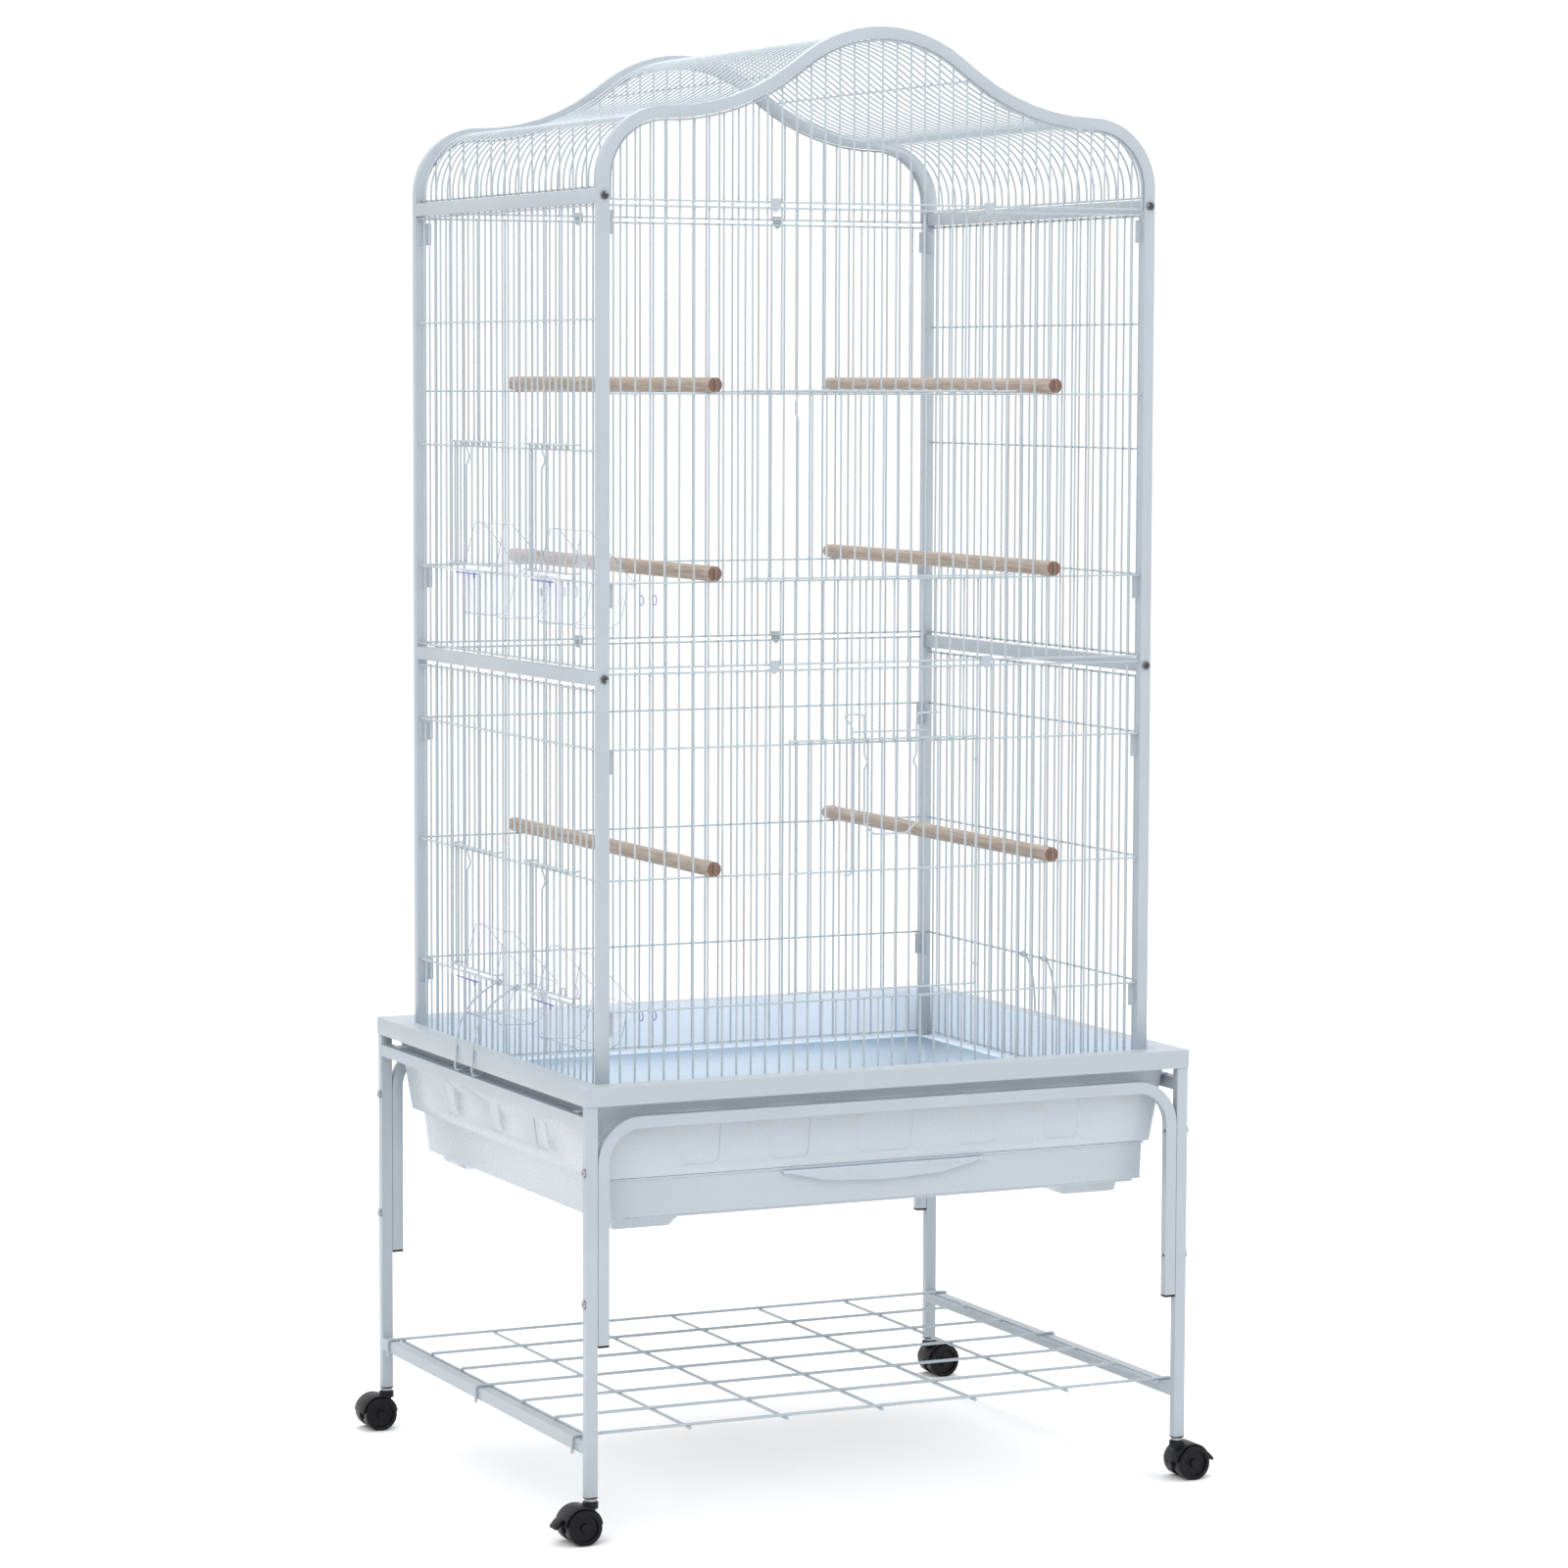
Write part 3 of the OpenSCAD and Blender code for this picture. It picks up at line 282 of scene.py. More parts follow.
def from_node(name, mats, bevel=0.8, segments=2, angle=35, limit=30, body="cage",
              warp=None, inside=None, cutters=None):
    """A copy of a CAD node with its edges rounded, which replaces it."""
    bm = bmesh.new()
    bm.from_mesh(nodes[name].data)
    bm.transform(nodes[name].matrix_world)
    bmesh.ops.remove_doubles(bm, verts=bm.verts, dist=2e-6)
    bmesh.ops.dissolve_limit(bm, angle_limit=math.radians(0.6), verts=bm.verts, edges=bm.edges)
    if cutters:
        cut_away(bm, cutters)
    if warp:
        for v in bm.verts:
            v.co = warp(v.co / MM) * MM
    sharp = [e for e in bm.edges if len(e.link_faces) == 2 and e.calc_face_angle(0) > math.radians(limit)]
    if bevel:
        bmesh.ops.bevel(bm, geom=sharp, offset=bevel * MM, segments=segments, profile=0.5,
                        affect="EDGES", clamp_overlap=True)
    if inside:
        for f in bm.faces:
            f.material_index = 1 if inside(f.calc_center_median() / MM, f.normal) else 0
    mesh = bpy.data.meshes.new(name + "_body")
    bm.to_mesh(mesh)
    bm.free()
    for m in mats:
        mesh.materials.append(m)
    mesh.polygons.foreach_set("use_smooth", [True] * len(mesh.polygons))
    mesh.set_sharp_from_angle(angle=math.radians(angle))
    obj = bpy.data.objects.new(name + "_body", mesh)
    bpy.context.scene.collection.objects.link(obj)
    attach(obj, body)
    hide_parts(name)
    return obj


# ---- materials ----

def nodes_of(name):
    """A new material, its node tree and its shader."""
    mat = bpy.data.materials.new(name)
    mat.use_nodes = True
    tree = mat.node_tree
    return mat, tree, tree.nodes["Principled BSDF"]


def noise(tree, scale, detail=3.0, rough=0.5, stretch=None):
    """Noise in the piece's own coordinates, scaled along its axes where stretch is given."""
    tex = tree.nodes.new("ShaderNodeTexNoise")
    tex.inputs["Scale"].default_value = scale
    tex.inputs["Detail"].default_value = detail
    tex.inputs["Roughness"].default_value = rough
    coord = tree.nodes.new("ShaderNodeTexCoord")
    if stretch:
        mapping = tree.nodes.new("ShaderNodeMapping")
        mapping.inputs["Scale"].default_value = stretch
        tree.links.new(coord.outputs["Object"], mapping.inputs["Vector"])
        tree.links.new(mapping.outputs["Vector"], tex.inputs["Vector"])
    else:
        tree.links.new(coord.outputs["Object"], tex.inputs["Vector"])
    return tex


def ramp(tree, source, stops):
    """A colour ramp over the source, from (position, colour) stops."""
    node = tree.nodes.new("ShaderNodeValToRGB")
    while len(node.color_ramp.elements) < len(stops):
        node.color_ramp.elements.new(0.5)
    for e, (pos, colour) in zip(node.color_ramp.elements, stops):
        e.position = pos
        e.color = (*colour, 1)
    tree.links.new(source, node.inputs["Fac"])
    return node


def spread(tree, source, low, high, start=0.3, end=0.7):
    """The source's range from start to end, mapped onto low to high."""
    node = tree.nodes.new("ShaderNodeMapRange")
    for key, v in (("From Min", start), ("From Max", end), ("To Min", low), ("To Max", high)):
        node.inputs[key].default_value = v
    tree.links.new(source, node.inputs["Value"])
    return node.outputs["Result"]


def shade(colour, k):
    """The colour made k times as bright."""
    return tuple(min(1.0, c * k) for c in colour)


def finish(name, colour, rough, vary=0.05, grain=900.0, bump=0.15, patch=14.0, metallic=0.0,
           rough_vary=0.08, depth=0.0003, specular=0.5):
    """A moulded or coated surface: slow colour patches, fine grain in bump and roughness."""
    mat, tree, bsdf = nodes_of(name)
    big = noise(tree, patch, 4.0, 0.6)
    small = noise(tree, grain, 2.0, 0.5)
    mix = tree.nodes.new("ShaderNodeMath")
    mix.operation = "MULTIPLY_ADD"
    mix.inputs[1].default_value = 0.25
    tree.links.new(small.outputs["Fac"], mix.inputs[0])
    half = tree.nodes.new("ShaderNodeMath")
    half.operation = "MULTIPLY"
    half.inputs[1].default_value = 0.75
    tree.links.new(big.outputs["Fac"], half.inputs[0])
    tree.links.new(half.outputs[0], mix.inputs[2])
    col = ramp(tree, mix.outputs[0], [(0.32, shade(colour, 1 - vary)), (0.68, shade(colour, 1 + vary))])
    tree.links.new(col.outputs["Color"], bsdf.inputs["Base Color"])
    dull = spread(tree, small.outputs["Fac"], rough - rough_vary, rough + rough_vary)
    tree.links.new(dull, bsdf.inputs["Roughness"])
    b = tree.nodes.new("ShaderNodeBump")
    b.inputs["Strength"].default_value = bump
    b.inputs["Distance"].default_value = depth
    tree.links.new(small.outputs["Fac"], b.inputs["Height"])
    tree.links.new(b.outputs["Normal"], bsdf.inputs["Normal"])
    bsdf.inputs["Metallic"].default_value = metallic
    bsdf.inputs["Specular IOR Level"].default_value = specular
    return mat


def wood(name):
    """Wood with its grain along Y, darker on the sawn ends."""
    mat, tree, bsdf = nodes_of(name)
    grain = noise(tree, 60.0, 8.0, 0.65, (6.0, 0.35, 6.0))
    fibre = noise(tree, 420.0, 4.0, 0.6, (3.0, 0.12, 3.0))
    side = ramp(tree, grain.outputs["Fac"],
                [(0.3, (0.22, 0.17, 0.135)), (0.5, (0.32, 0.26, 0.215)), (0.72, (0.41, 0.35, 0.30))])
    end = ramp(tree, fibre.outputs["Fac"], [(0.3, (0.11, 0.055, 0.04)), (0.7, (0.19, 0.10, 0.075))])
    geo = tree.nodes.new("ShaderNodeNewGeometry")
    xyz = tree.nodes.new("ShaderNodeSeparateXYZ")
    tree.links.new(geo.outputs["True Normal"], xyz.inputs[0])
    ab = tree.nodes.new("ShaderNodeMath")
    ab.operation = "ABSOLUTE"
    tree.links.new(xyz.outputs["Y"], ab.inputs[0])
    mix = tree.nodes.new("ShaderNodeMix")
    mix.data_type = "RGBA"
    tree.links.new(spread(tree, ab.outputs[0], 0, 1, 0.55, 0.9), mix.inputs["Factor"])
    tree.links.new(side.outputs["Color"], mix.inputs["A"])
    tree.links.new(end.outputs["Color"], mix.inputs["B"])
    tree.links.new(mix.outputs["Result"], bsdf.inputs["Base Color"])
    tree.links.new(spread(tree, fibre.outputs["Fac"], 0.5, 0.75), bsdf.inputs["Roughness"])
    b = tree.nodes.new("ShaderNodeBump")
    b.inputs["Strength"].default_value = 0.4
    b.inputs["Distance"].default_value = 0.0004
    tree.links.new(fibre.outputs["Fac"], b.inputs["Height"])
    tree.links.new(b.outputs["Normal"], bsdf.inputs["Normal"])
    return mat


def clear(name, colour, low, high, rough=0.12):
    """Thin clear moulding: mostly open, a little hazier in slow patches."""
    mat, tree, bsdf = nodes_of(name)
    haze = noise(tree, 35.0, 4.0)
    col = ramp(tree, haze.outputs["Fac"], [(0.3, shade(colour, 0.95)), (0.7, colour)])
    tree.links.new(col.outputs["Color"], bsdf.inputs["Base Color"])
    tree.links.new(spread(tree, haze.outputs["Fac"], rough * 0.6, rough * 1.6), bsdf.inputs["Roughness"])
    tree.links.new(spread(tree, haze.outputs["Fac"], low, high), bsdf.inputs["Alpha"])
    return mat


coat = finish("powder_coat", (0.355, 0.398, 0.435), 0.36, vary=0.035, grain=1100, bump=0.12)
# the wires' copy of the steel coat is a little lighter than the frame's coat because the wires face the
# light: painted light
wire_coat_painted_light = finish("coated_wire_painted_light", (0.37, 0.42, 0.455), 0.30, vary=0.06, grain=500, bump=0.10, patch=25)
# a lighter, bluer copy of the powder coat for the faces inside the rim: painted bounce light
lit_inner_coat = finish("inner_face_coat_painted_light", (0.68, 0.765, 0.86), 0.30, vary=0.03, grain=1100, bump=0.1)
# a lighter, bluer copy of the basin's and tray's plastic for their inner faces and floors: painted bounce
# light
inner_plastic_painted_light = finish("inner_plastic_painted_light", (0.75, 0.835, 0.915), 0.26, vary=0.02, grain=700, bump=0.02, patch=6)
zinc = finish("zinc_plate", (0.34, 0.35, 0.37), 0.34, vary=0.10,
              grain=1400, metallic=1.0, bump=0.1, patch=120)
# near black for the insides of the screw heads' recesses: painted shade
recess_painted_shade = finish("screw_recess_painted_shade", (0.05, 0.05, 0.055), 0.6, vary=0.2, grain=1500)
white = finish("basin_plastic", (0.425, 0.468, 0.505), 0.26, vary=0.02, grain=700, bump=0.02, patch=6)
white_tray = finish("tray_plastic", (0.38, 0.425, 0.465), 0.24, vary=0.02, grain=700, bump=0.02, patch=7)
black = finish("black_nylon", (0.005, 0.0055, 0.007), 0.42, vary=0.25,
               grain=1600, bump=0.2, patch=60, specular=0.22)
black_wheel = finish("wheel_nylon", (0.004, 0.004, 0.0055), 0.34, vary=0.25, grain=1300, bump=0.1, patch=60,
                     specular=0.18)
perch = wood("perch_wood")
clear_cup = clear("clear_cup", (0.80, 0.83, 0.90), 0.10, 0.17)
cup_rim = clear("cup_rim", (0.30, 0.32, 0.46), 0.5, 0.7)
violet = clear("cup_edge", (0.12, 0.12, 0.42), 0.75, 0.95)

# ---- wire panels ----

CIRCLE = [(math.cos(a / 8 * math.pi), math.sin(a / 8 * math.pi)) for a in range(16)]
UPPER_HOLE = (-UPPER_HALF, UPPER_HALF, RAIL[4], DOOR_TOP)
LOWER_HOLE = (-LOWER_HALF, LOWER_HALF, RAIL[1], RAIL[3])
EYELET_X, EYELET_Y, EYELET_Z, EYELET_R = 115, -6, (590, 815), 2.9   # the lower door's hinge rings
EYELET_WIRE = 0.9


def feeder_holes(z0, z1):
    """The left panels' openings between two cross wires, as the panel's own x runs."""
    return [(-y - SPAN / 2, -y + SPAN / 2, z0, z1) for y in FEEDER_Y.values()]


HIGH = [HIGH_LOW, RAIL[4], DOOR_TOP, HIGH_TOP]
LOW = [FOOT, RAIL[1], RAIL[2], RAIL[3], LOW_TOP]
HIGH_SIDE = [HIGH_LOW, RAIL[4], RAIL[5], RAIL[6], HIGH_TOP]
LOW_SIDE = [FOOT, RAIL[1], RAIL[2], RAIL[3], LOW_TOP - 18]
for node, place, xs, rails, half, holes in (
        ("front_upper_panel", FRONT, FRONT_XS, HIGH, FRONT_HALF, [UPPER_HOLE]),
        ("back_upper_panel", BACK, FRONT_XS, HIGH, FRONT_HALF, []),
        ("front_lower_panel", FRONT, FRONT_XS, LOW, FRONT_HALF, [LOWER_HOLE]),
        ("back_lower_panel", BACK, FRONT_XS, LOW, FRONT_HALF, []),
        ("left_upper_panel", LEFT, SIDE_XS, HIGH_SIDE, SIDE_HALF, feeder_holes(RAIL[4], RAIL[5])),
        ("left_lower_panel", LEFT, SIDE_XS, LOW_SIDE, SIDE_HALF, feeder_holes(RAIL[1], RAIL[2])),
        ("right_upper_panel", RIGHT, SIDE_XS, HIGH_SIDE, SIDE_HALF, []),
        ("right_lower_panel", RIGHT, SIDE_XS, LOW_SIDE, SIDE_HALF, [])):
    s = grid(xs, rails, half, holes)
    if node == "front_lower_panel":
        for z in EYELET_Z:
            ring = [(EYELET_X + EYELET_R * c, EYELET_Y - EYELET_R * d, z) for c, d in CIRCLE]
            wire(s, ring, EYELET_WIRE, closed=True)
            wire(s, [(EYELET_X + 1.5, EYELET_Y + 2.3, z), (EYELET_X + 3.4, -0.6, z)], EYELET_WIRE)
    s.piece(node + "_wires", [wire_coat_painted_light], place, replaces=(node,), slot="steel_coat")

for node, place in (("front_gable", FRONT), ("back_gable", BACK)):
    s = Shape()
    edge = POST_W + 2
    for x in FRONT_XS:
        top = crown_height(x, edge) + 0.6
        if top > GABLE + 6:
            straight(s, (x, 0, GABLE - 2), (x, 0, top))
    pts, sizes = along((-FRONT_HALF, -CROSS_OUT, GABLE), (FRONT_HALF, -CROSS_OUT, GABLE),
                       [x + FRONT_HALF for x in FRONT_XS])
    wire(s, pts, WIRE / 2, swell=sizes)
    wire(s, [(x, -CROSS_OUT, z) for x, z in crown_line(edge, GABLE - 1)], WIRE / 2)
    s.piece(node + "_wires", [wire_coat_painted_light], place, replaces=(node,), slot="steel_coat")

s = Shape()
mid = POST_W / 2
for y in SIDE_XS:
    wire(s, [(x, y, z) for x, z in crown_line(mid, ROOF)], WIRE / 2)
slope_x, foot_x = 112, HX - mid - 1.7
slope_z = crown_height(slope_x, mid) - CROSS_OUT - 0.4
for x, z in ((-slope_x, slope_z), (slope_x, slope_z), (-foot_x, ROOF), (foot_x, ROOF)):
    pts, sizes = along((x, -SIDE_HALF, z), (x, SIDE_HALF, z), [y + SIDE_HALF for y in SIDE_XS])
    wire(s, pts, WIRE / 2, swell=sizes)
s.piece("roof_panel_wires", [wire_coat_painted_light], replaces=("roof_panel",), slot="steel_coat")

# ---- doors ----

DOOR_Y = -HY - 1
BAR_Y = DOOR_Y - CROSS_OUT
door_z = (RAIL[4] + 3, DOOR_TOP + 3.5)
s = Shape()
edge = UPPER_HALF - 3.5
kinked = -6 * PITCH                             # the upright with a small bend near its top
guide_x, guide_y = 161.5, -HY + 10.5            # how far a guide reaches sideways and inwards
door_xs = [n * PITCH for n in range(-8, 9)]
for x in door_xs + [-edge, edge]:
    if x == kinked:
        pts = [(x, DOOR_Y, door_z[0] - 2), (x, DOOR_Y, door_z[1] - 31), (x - 3, DOOR_Y, door_z[1] - 24),
               (x - 3, DOOR_Y, door_z[1] - 12), (x, DOOR_Y, door_z[1] - 4), (x, DOOR_Y, door_z[1] + 2)]
        wire(s, pts, WIRE / 2, bend=5)
    else:
        straight(s, (x, DOOR_Y, door_z[0] - 2), (x, DOOR_Y, door_z[1] + 2))
for z in door_z:
    pts, sizes = along((-edge - 1, BAR_Y, z), (edge + 1, BAR_Y, z), [x + edge + 1 for x in door_xs])
    wire(s, pts, WIRE / 2, swell=sizes)
    for sx in (-1, 1):
        wire(s, [(sx * (UPPER_HALF - 6), BAR_Y, z), (sx * guide_x, BAR_Y, z), (sx * guide_x, guide_y, z),
                 (sx * (UPPER_HALF - 7), guide_y, z)], GUIDE_R, bend=GUIDE_BEND)
s.piece("upper_door_wires", [wire_coat_painted_light], replaces=("upper_door",), body="upper_door", slot="steel_coat")

s = Shape()
low_door = (568.5, RAIL[3] + 3.5)
free_x, hinge_x = -110.5, EYELET_X
low_xs = [free_x] + [n * PITCH for n in range(-6, 7)] + [hinge_x]
for x in low_xs:
    straight(s, (x, DOOR_Y, low_door[0] - 2.5), (x, DOOR_Y, low_door[1] + 2))
for z in (low_door[0], RAIL[2], low_door[1]):
    pts, sizes = along((free_x - 1, BAR_Y, z), (hinge_x + 1, BAR_Y, z), [x - free_x + 1 for x in low_xs])
    wire(s, pts, WIRE / 2, swell=sizes)
s.piece("lower_door_wires", [wire_coat_painted_light], replaces=("lower_door",), body="lower_door", slot="steel_coat")

s = Shape()
latch_y = BAR_Y - BAR / 2 - WIRE / 2 - 1
left, right, bottom, top = -23.6, 39.5, 737.6, 868.0    # the latch's loop
grip_left, grip_right = -50, 66.5
rod_x, rod_foot, rod_top = -38.5, RAIL[2] - 4, 855
kink, kink_z, kink_half = 4, 816, 8
corner = 12
pts = [(rod_x - 9, rod_foot), (rod_x, rod_foot), (rod_x, rod_top), (grip_left, top), (left, top),
       (left, kink_z + kink_half), (left + kink, kink_z), (left, kink_z - kink_half),
       (left, bottom + corner), (-12, bottom), (28, bottom), (right, bottom + corner),
       (right, kink_z - kink_half), (right - kink, kink_z), (right, kink_z + kink_half),
       (right, top), (grip_right, top)]
wire(s, [(x, latch_y, z) for x, z in pts], WIRE / 2, bend=6, sides=10)
tie_left, tie_right, tie_z = -40, 50, 849
wire(s, [(tie_left, latch_y, tie_z), (tie_right, latch_y, tie_z)], WIRE / 2 * 0.9)
s.piece("latch_wire", [wire_coat_painted_light], replaces=("lower_door_latch",), body="door_latch", slot="spring_wire")

door_x = -HX - 1.5
door_low, door_high = 6, 144.5                  # a feeder door's ends above the wire below it
for level, rail in FEEDER_RAIL.items():
    for end, y in FEEDER_Y.items():
        node = level + "_" + end + "_feeder_door"
        s = Shape()
        z0, z1 = rail + door_low, rail + door_high
        half = SPAN / 2
        for k in range(-3, 4):
            if k == 1:
                kink = ((0, z0), (0, z1 - 27), (-9, z1 - 19), (-9, z1 - 15), (0, z1 - 6), (0, z1 + 1.5))
                wire(s, [(door_x, y + k * PITCH + side, z) for side, z in kink], WIRE / 2, bend=4)
            else:
                straight(s, (door_x, y + k * PITCH, z0), (door_x, y + k * PITCH, z1 + 1.5))
        for z in (z0 + 2, z1):
            pts, sizes = along((door_x - CROSS_OUT, y - half + 4, z), (door_x - CROSS_OUT, y + half - 4, z),
                               [half - 4 + k * PITCH for k in range(-3, 4)])
            wire(s, pts, WIRE / 2, swell=sizes)
            for sy in (-1, 1):
                outer_x, inner_x = door_x - CROSS_OUT, -HX + 10
                guide = ((outer_x, half - 5), (outer_x, half + 8), (inner_x, half + 8),
                         (inner_x, half - 0.9))
                wire(s, [(x, y + sy * out, z) for x, out in guide], GUIDE_R, bend=GUIDE_BEND)
        s.piece(node + "_wires", [wire_coat_painted_light], replaces=(node,), body=node, slot="steel_coat")

# ---- stand wires ----

s = Shape()
low_bar_top = 107                               # top of the side frames' low bars
long_z = low_bar_top + SHELF_R + 0.1
cross_z = long_z - 3.2
step_x, step_y = 115, 278 / 3
half_y = 284
over, short = 363.5 + SHELF_R + 0.6, 348        # wires that hook over the bars, and those between them
cross_ys = [k * step_y + half_y for k in range(-3, 4)]
for k in range(-3, 4):
    end, drop = (over, 19.5) if k % 3 == 0 else (short, 7)
    wire(s, [(-end, k * step_y, long_z - drop), (-end, k * step_y, long_z), (end, k * step_y, long_z),
             (end, k * step_y, long_z - drop)], SHELF_R, bend=3.5, sides=10)
for k in range(-3, 4):
    pts, sizes = along((k * step_x, -half_y, cross_z), (k * step_x, half_y, cross_z), cross_ys,
                       swell=1.12, reach=2)
    wire(s, pts, SHELF_R, swell=sizes, sides=10)
s.piece("shelf_wires", [wire_coat_painted_light], replaces=("wire_shelf",), slot="steel_coat")

eye = HOOK_R + BAR * 0.71 + 0.4                 # a hook's ring clears the bar's corners
px = -SIDE_PLANE - CROSS_OUT
rim = -SKIRT_X - HOOK_R - 0.9
low = RIM - SKIRT_H - 2
lean = 38                                       # a hook's foot lies this far behind its ring
for name, side in (("left", 1), ("right", -1)):
    s = Shape()
    for y in (17, -34):
        wire(s, [(side * (px + eye * c), y, RAIL[1] + eye * d) for c, d in CIRCLE], HOOK_R, closed=True)
        bow = [(f, 1 - (1 - f) ** 3.2) for f in (0, 0.06, 0.13, 0.22, 0.36, 0.52, 0.7, 0.9)]
        pts = [(px - eye + g * (rim - px + eye), y + lean * g, RAIL[1] - f * (RAIL[1] - low))
               for f, g in bow]
        foot = y + lean
        pts += [(rim - 1, foot, low - 1), (rim + 0.5, foot, low - 6.5), (rim + 17, foot, low - 4.4)]
        wire(s, [(side * x, yy, z) for x, yy, z in pts], HOOK_R, bend=5, sides=10)
    s.piece(name + "_hook_wires", [wire_coat_painted_light], replaces=(name + "_rim_hooks",),
            body=name + "_hooks", slot="spring_wire")

# ---- pieces that keep the CAD's shape, with rounded edges ----

for node in ("front_arch", "back_arch",
             "front_left_post", "front_right_post", "back_left_post", "back_right_post",
             "left_top_bar", "right_top_bar", "left_mid_bar", "right_mid_bar", "panel_clips",
             "left_side_frame", "right_side_frame", "front_u_tube", "back_u_tube"):
    from_node(node, [coat], bevel=0.35 if node == "panel_clips" else 0.8)


def lit_inner_faces(p, n):
    """True for an inner face of the rim, the basin or the tray; these take the lighter, bluer copy of the
    plastic as painted bounce light.
    """
    if n.z > 0.7:
        return p.z < RIM - 8
    return p.x * n.x + p.y * n.y < -1 and abs(n.z) < 0.7


def rim_lit_faces(p, n):
    """True for the rim's faces other than its flange and the outside of its skirt; these take the lighter,
    bluer copy of the coat as painted bounce light.
    """
    flange = n.z > 0.7 and p.z > RIM - 8
    return not flange and max(abs(p.x) - (HX + 32), abs(p.y) - (HY + 41)) < -0.6


# the rim's inner walls take the lighter copy of the coat: painted bounce light
from_node("rim_frame", [coat, lit_inner_coat], bevel=0.35, inside=rim_lit_faces)
for node in ("caster_stems", "joint_sleeves"):
    from_node(node, [zinc], bevel=0.25)


def shaded_recess_faces(p, n):
    """True for the walls and the bottom of a screw head's recess, front and back, which are painted near
    black as painted shade.
    """
    near = min(abs(p.z - z) for z in SCREW_Z)
    return abs(p.y) > HY and math.hypot(abs(p.x) - (HX - POST_W / 2), near) < 1.7


# the recesses of the zinc screw heads are painted near black: painted shade
from_node("frame_screws", [zinc, recess_painted_shade], bevel=0.2, inside=shaded_recess_faces)
for node in ("top_perches", "middle_perches", "low_perches"):
    from_node(node, [perch], bevel=0.7)


WALL_SLOPE = 9.0 / 78.6          # how far the basin's walls lean out for each millimetre up
TIER_Z = 383.4                  # the foot of the basin's upper tier
WALL_Y, WALL_X = 281, 336       # the walls' outer faces at that foot
SIDE_PANELS = ((-240.6, -197), (-138, -91), (-33.4, 33.4), (92.4, 137.3), (197.3, 240.5))
END_PANELS = ((118, 158), (-13, 26), (-150, -112))


def panel_ring(a, b, low, high, slide, depth):
    """Rounded-bottom panel between a and b along a wall, on the wall's slope."""
    r = min(8.0, (b - a) / 3)
    pts = [(a, high), (b, high)]
    pts += [(b - r + r * c, low + r - r * d) for c, d in CIRCLE[:5]]
    pts += [(a + r - r * d, low + r - r * c) for c, d in CIRCLE[:5]]
    return [slide(u, depth - WALL_SLOPE * (z - TIER_Z), z) for u, z in pts]


cutters = []
for sy in (-1, 1):
    for a, b in SIDE_PANELS:
        def on_wall(u, d, z, sy=sy):
            return (u, sy * (WALL_Y - d), z)
        cutters.append((panel_ring(a, b, 391, 452, on_wall, 0.7), panel_ring(a, b, 391, 452, on_wall, -6)))
for sx in (-1, 1):
    for a, b in END_PANELS:
        def on_end(u, d, z, sx=sx):
            return (sx * (WALL_X - 1.2 * d), u, z)
        cutters.append((panel_ring(a, b, 392, 425, on_end, 0.5), panel_ring(a, b, 392, 425, on_end, -5)))
# the basin's and the tray's inner faces take the lighter copy of the plastic: painted bounce light
from_node("base_tub", [white, inner_plastic_painted_light], bevel=0.5,
          inside=lit_inner_faces, cutters=cutters)
from_node("pull_out_tray", [white_tray, inner_plastic_painted_light], bevel=0.6, body="tray",
          inside=lit_inner_faces)
from_node("tube_plugs", [black], bevel=0.4)
CUP_X = -SIDE_PLANE
ROD_Z = 25                      # a cup's little perch is this far under the wire that it hangs on
CUP_HALF = 49.4
CUP_OUTLINE = [(3, -46), (8, -51), (46, -52), (56, -46), (61, -35), (66, -10), (76, -8), (76, -4),
               (72, -0.5), (24.5, 53), (15, 53), (3, 3.5)]
for level in FEEDER_RAIL:
    for end in FEEDER_Y:
        y, rail = FEEDER_Y[end], FEEDER_RAIL[level]
        node = level + "_" + end + "_feeder"

        def taper(p, y=y, rail=rail):
            k = 1 - 0.13 * max(0.0, min(1.0, (p.z - rail - 4) / 49))
            return Vector((p.x, y + (p.y - y) * k, p.z))
        from_node(node, [clear_cup], bevel=0.5, warp=taper)
        s = Shape()
        x, z = CUP_X - 18.4, rail - 1.4
        wire(s, [(x, y + 18, z), (x, y - 46, z - 0.3)], 0.8)
        wire(s, [(x, y - 36, z), (x + 0.2, y - 36.4, z - 5.5)], 0.7)
        for dx, r in ((104, 5.4), (119.5, 5.5)):
            wire(s, [(CUP_X + dx, y + r * c, rail - ROD_Z + r * d) for c, d in CIRCLE], 0.5, closed=True)
        s.piece(node + "_edges", [violet], slot="clear_plastic")
        s = Shape()
        for sy in (-1, 1):
            ring = [taper(Vector((CUP_X + u, y + sy * CUP_HALF, rail + v))) for u, v in CUP_OUTLINE]
            wire(s, ring, 0.45, closed=True)
        for u, v in ((19.5, 52.5), (75, -6), (46, -51.8), (5, -48)):
            ends = [taper(Vector((CUP_X + u, y + sy * 49, rail + v))) for sy in (-1, 1)]
            wire(s, ends, 0.4)
        s.piece(node + "_rims", [cup_rim], slot="clear_plastic")
for c in ("front_left", "front_right", "back_left", "back_right"):
    from_node(c + "_hood", [black], bevel=0.6, body=c + "_caster")
    from_node(c + "_wheels", [black_wheel], bevel=0.6, body=c + "_wheel_pair")
for c in ("front_left", "front_right"):
    from_node(c + "_brake", [black], bevel=0.5, body=c + "_lever")

# ---- studio ----

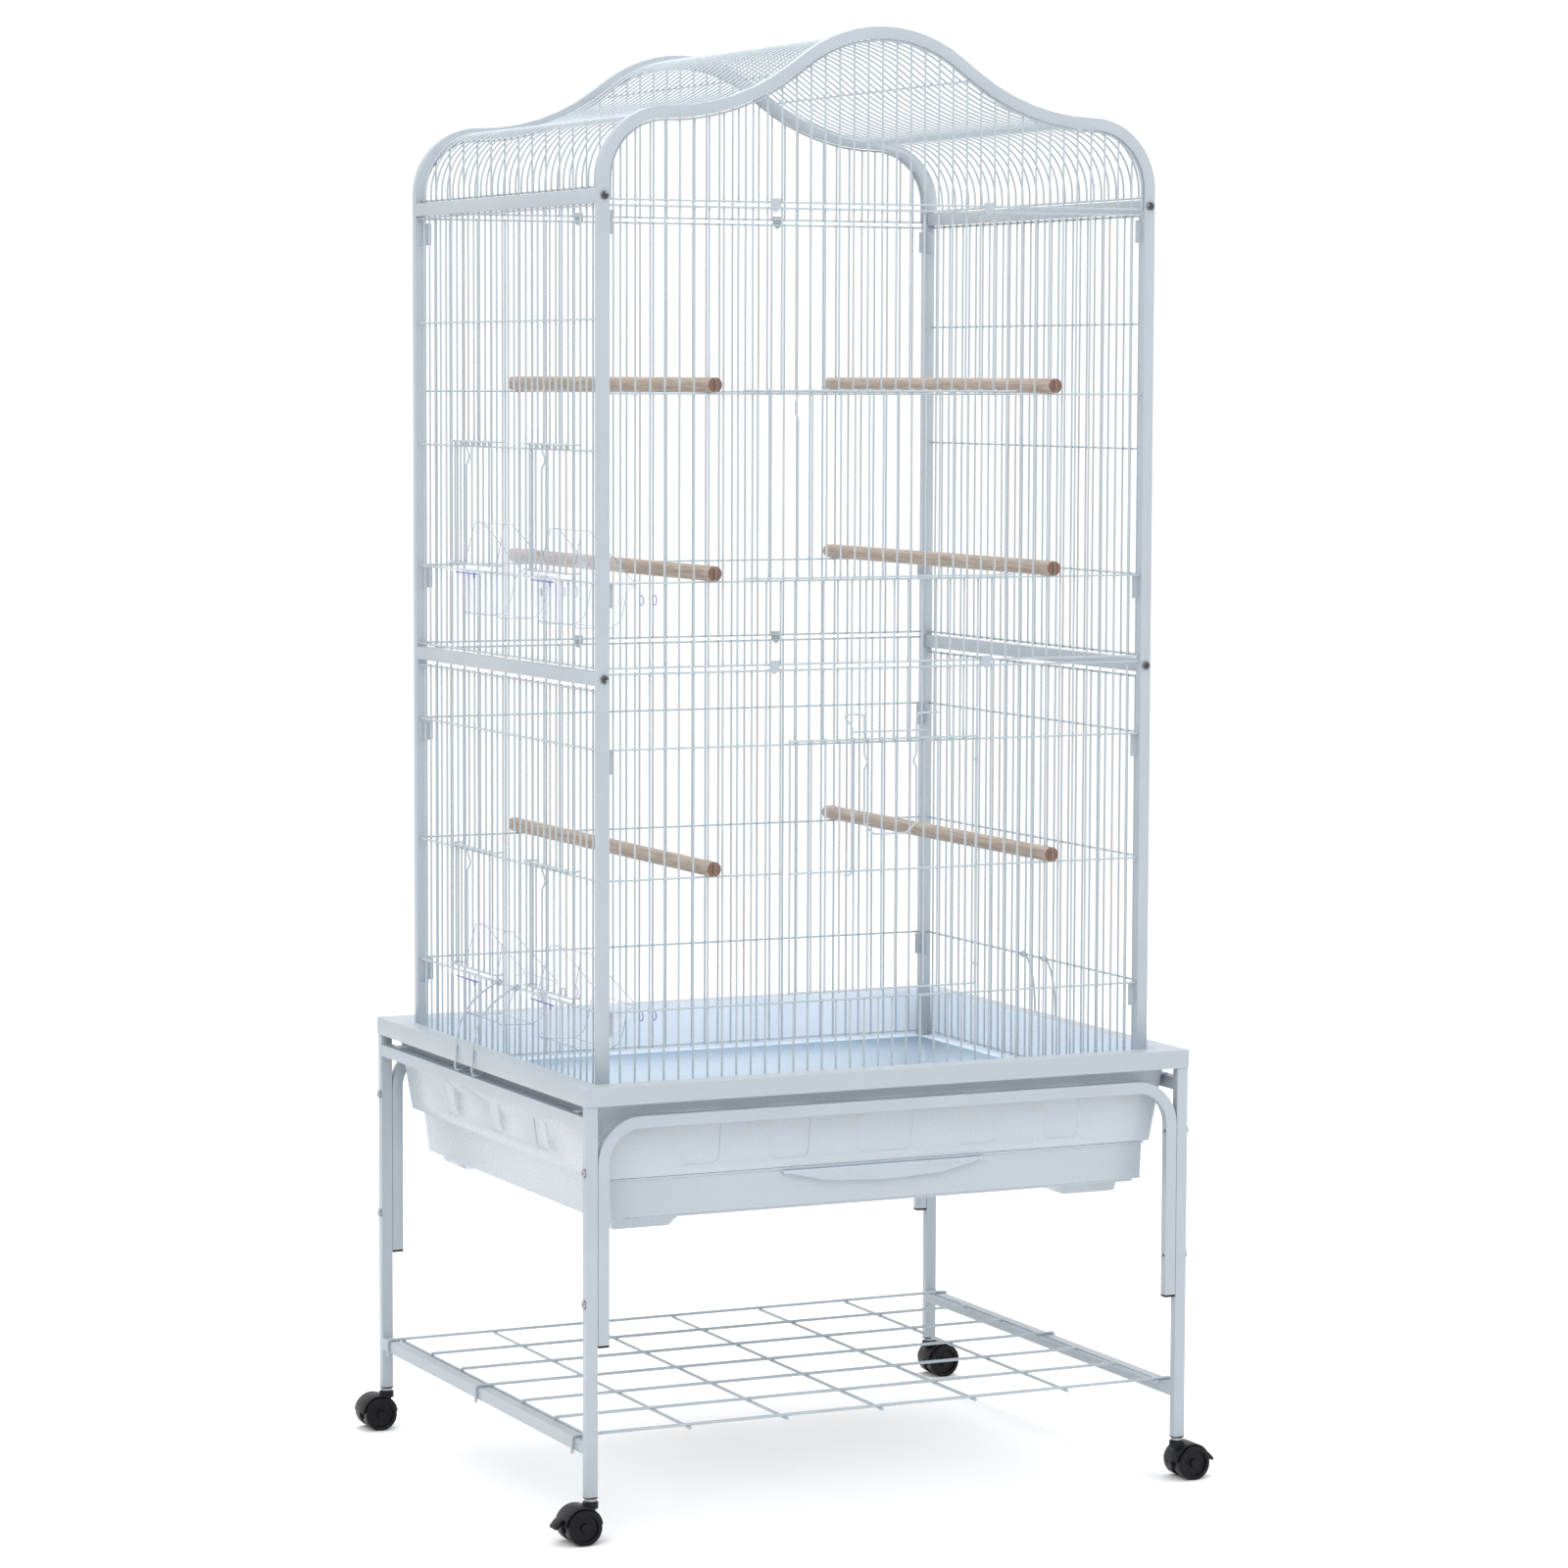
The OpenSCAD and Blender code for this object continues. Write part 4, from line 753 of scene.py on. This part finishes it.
def area_light(name, place, aim, size, power, colour=(1, 1, 1)):
    """A rectangular lamp of that size and power, turned towards aim."""
    data = bpy.data.lights.new(name, "AREA")
    data.shape = "RECTANGLE"
    data.size, data.size_y = size
    data.energy = power
    data.color = colour
    obj = bpy.data.objects.new(name, data)
    obj.location = place
    obj.rotation_euler = (Vector(aim) - Vector(place)).to_track_quat("-Z", "Y").to_euler()
    bpy.context.scene.collection.objects.link(obj)


world = bpy.data.worlds.new("studio")
bpy.context.scene.world = world
world.use_nodes = True
world.node_tree.nodes["Background"].inputs["Color"].default_value = (1.0, 1.0, 1.0, 1)
world.node_tree.nodes["Background"].inputs["Strength"].default_value = 1.1
bpy.context.scene.view_settings.view_transform = "Standard"
area_light("key", (-2.2, -2.6, 3.4), (0, 0, 0.8), (2.4, 2.4), 52)
area_light("fill", (2.8, -2.2, 1.8), (0, 0, 0.8), (2.0, 2.6), 15)
area_light("top", (0.3, 0.6, 3.6), (0, 0, 0.8), (2.4, 2.4), 75)

floor_mat = finish("floor", (0.955, 0.955, 0.955), 0.8, vary=0.002, grain=200, bump=0.02)
floor_mesh = bpy.data.meshes.new("floor")
size = 14
corners = [(-size, -size, 0), (size, -size, 0), (size, size, 0), (-size, size, 0)]
floor_mesh.from_pydata(corners, [], [[0, 1, 2, 3]])
floor_mesh.materials.append(floor_mat)
floor = bpy.data.objects.new("floor", floor_mesh)
bpy.context.scene.collection.objects.link(floor)

cam_data = bpy.data.cameras.new("camera")
cam = bpy.data.objects.new("camera", cam_data)
bpy.context.scene.collection.objects.link(cam)
bpy.context.scene.camera = cam
cam_data.lens = 110.42
cam_data.sensor_width = 36
cam_data.clip_end = 100
yaw, pitch, roll = math.radians(25.27), math.radians(4.874), math.radians(0.198)
ahead = Vector((math.sin(yaw) * math.cos(pitch), math.cos(yaw) * math.cos(pitch), -math.sin(pitch)))
right0 = Vector((math.cos(yaw), -math.sin(yaw), 0))
up0 = right0.cross(ahead)
right = right0 * math.cos(roll) + up0 * math.sin(roll)
up = right.cross(ahead)
turn = Matrix((right, up, -ahead)).transposed().to_4x4()
cam.matrix_world = Matrix.Translation((-2.3128, -4.9240, 1.2337)) @ turn
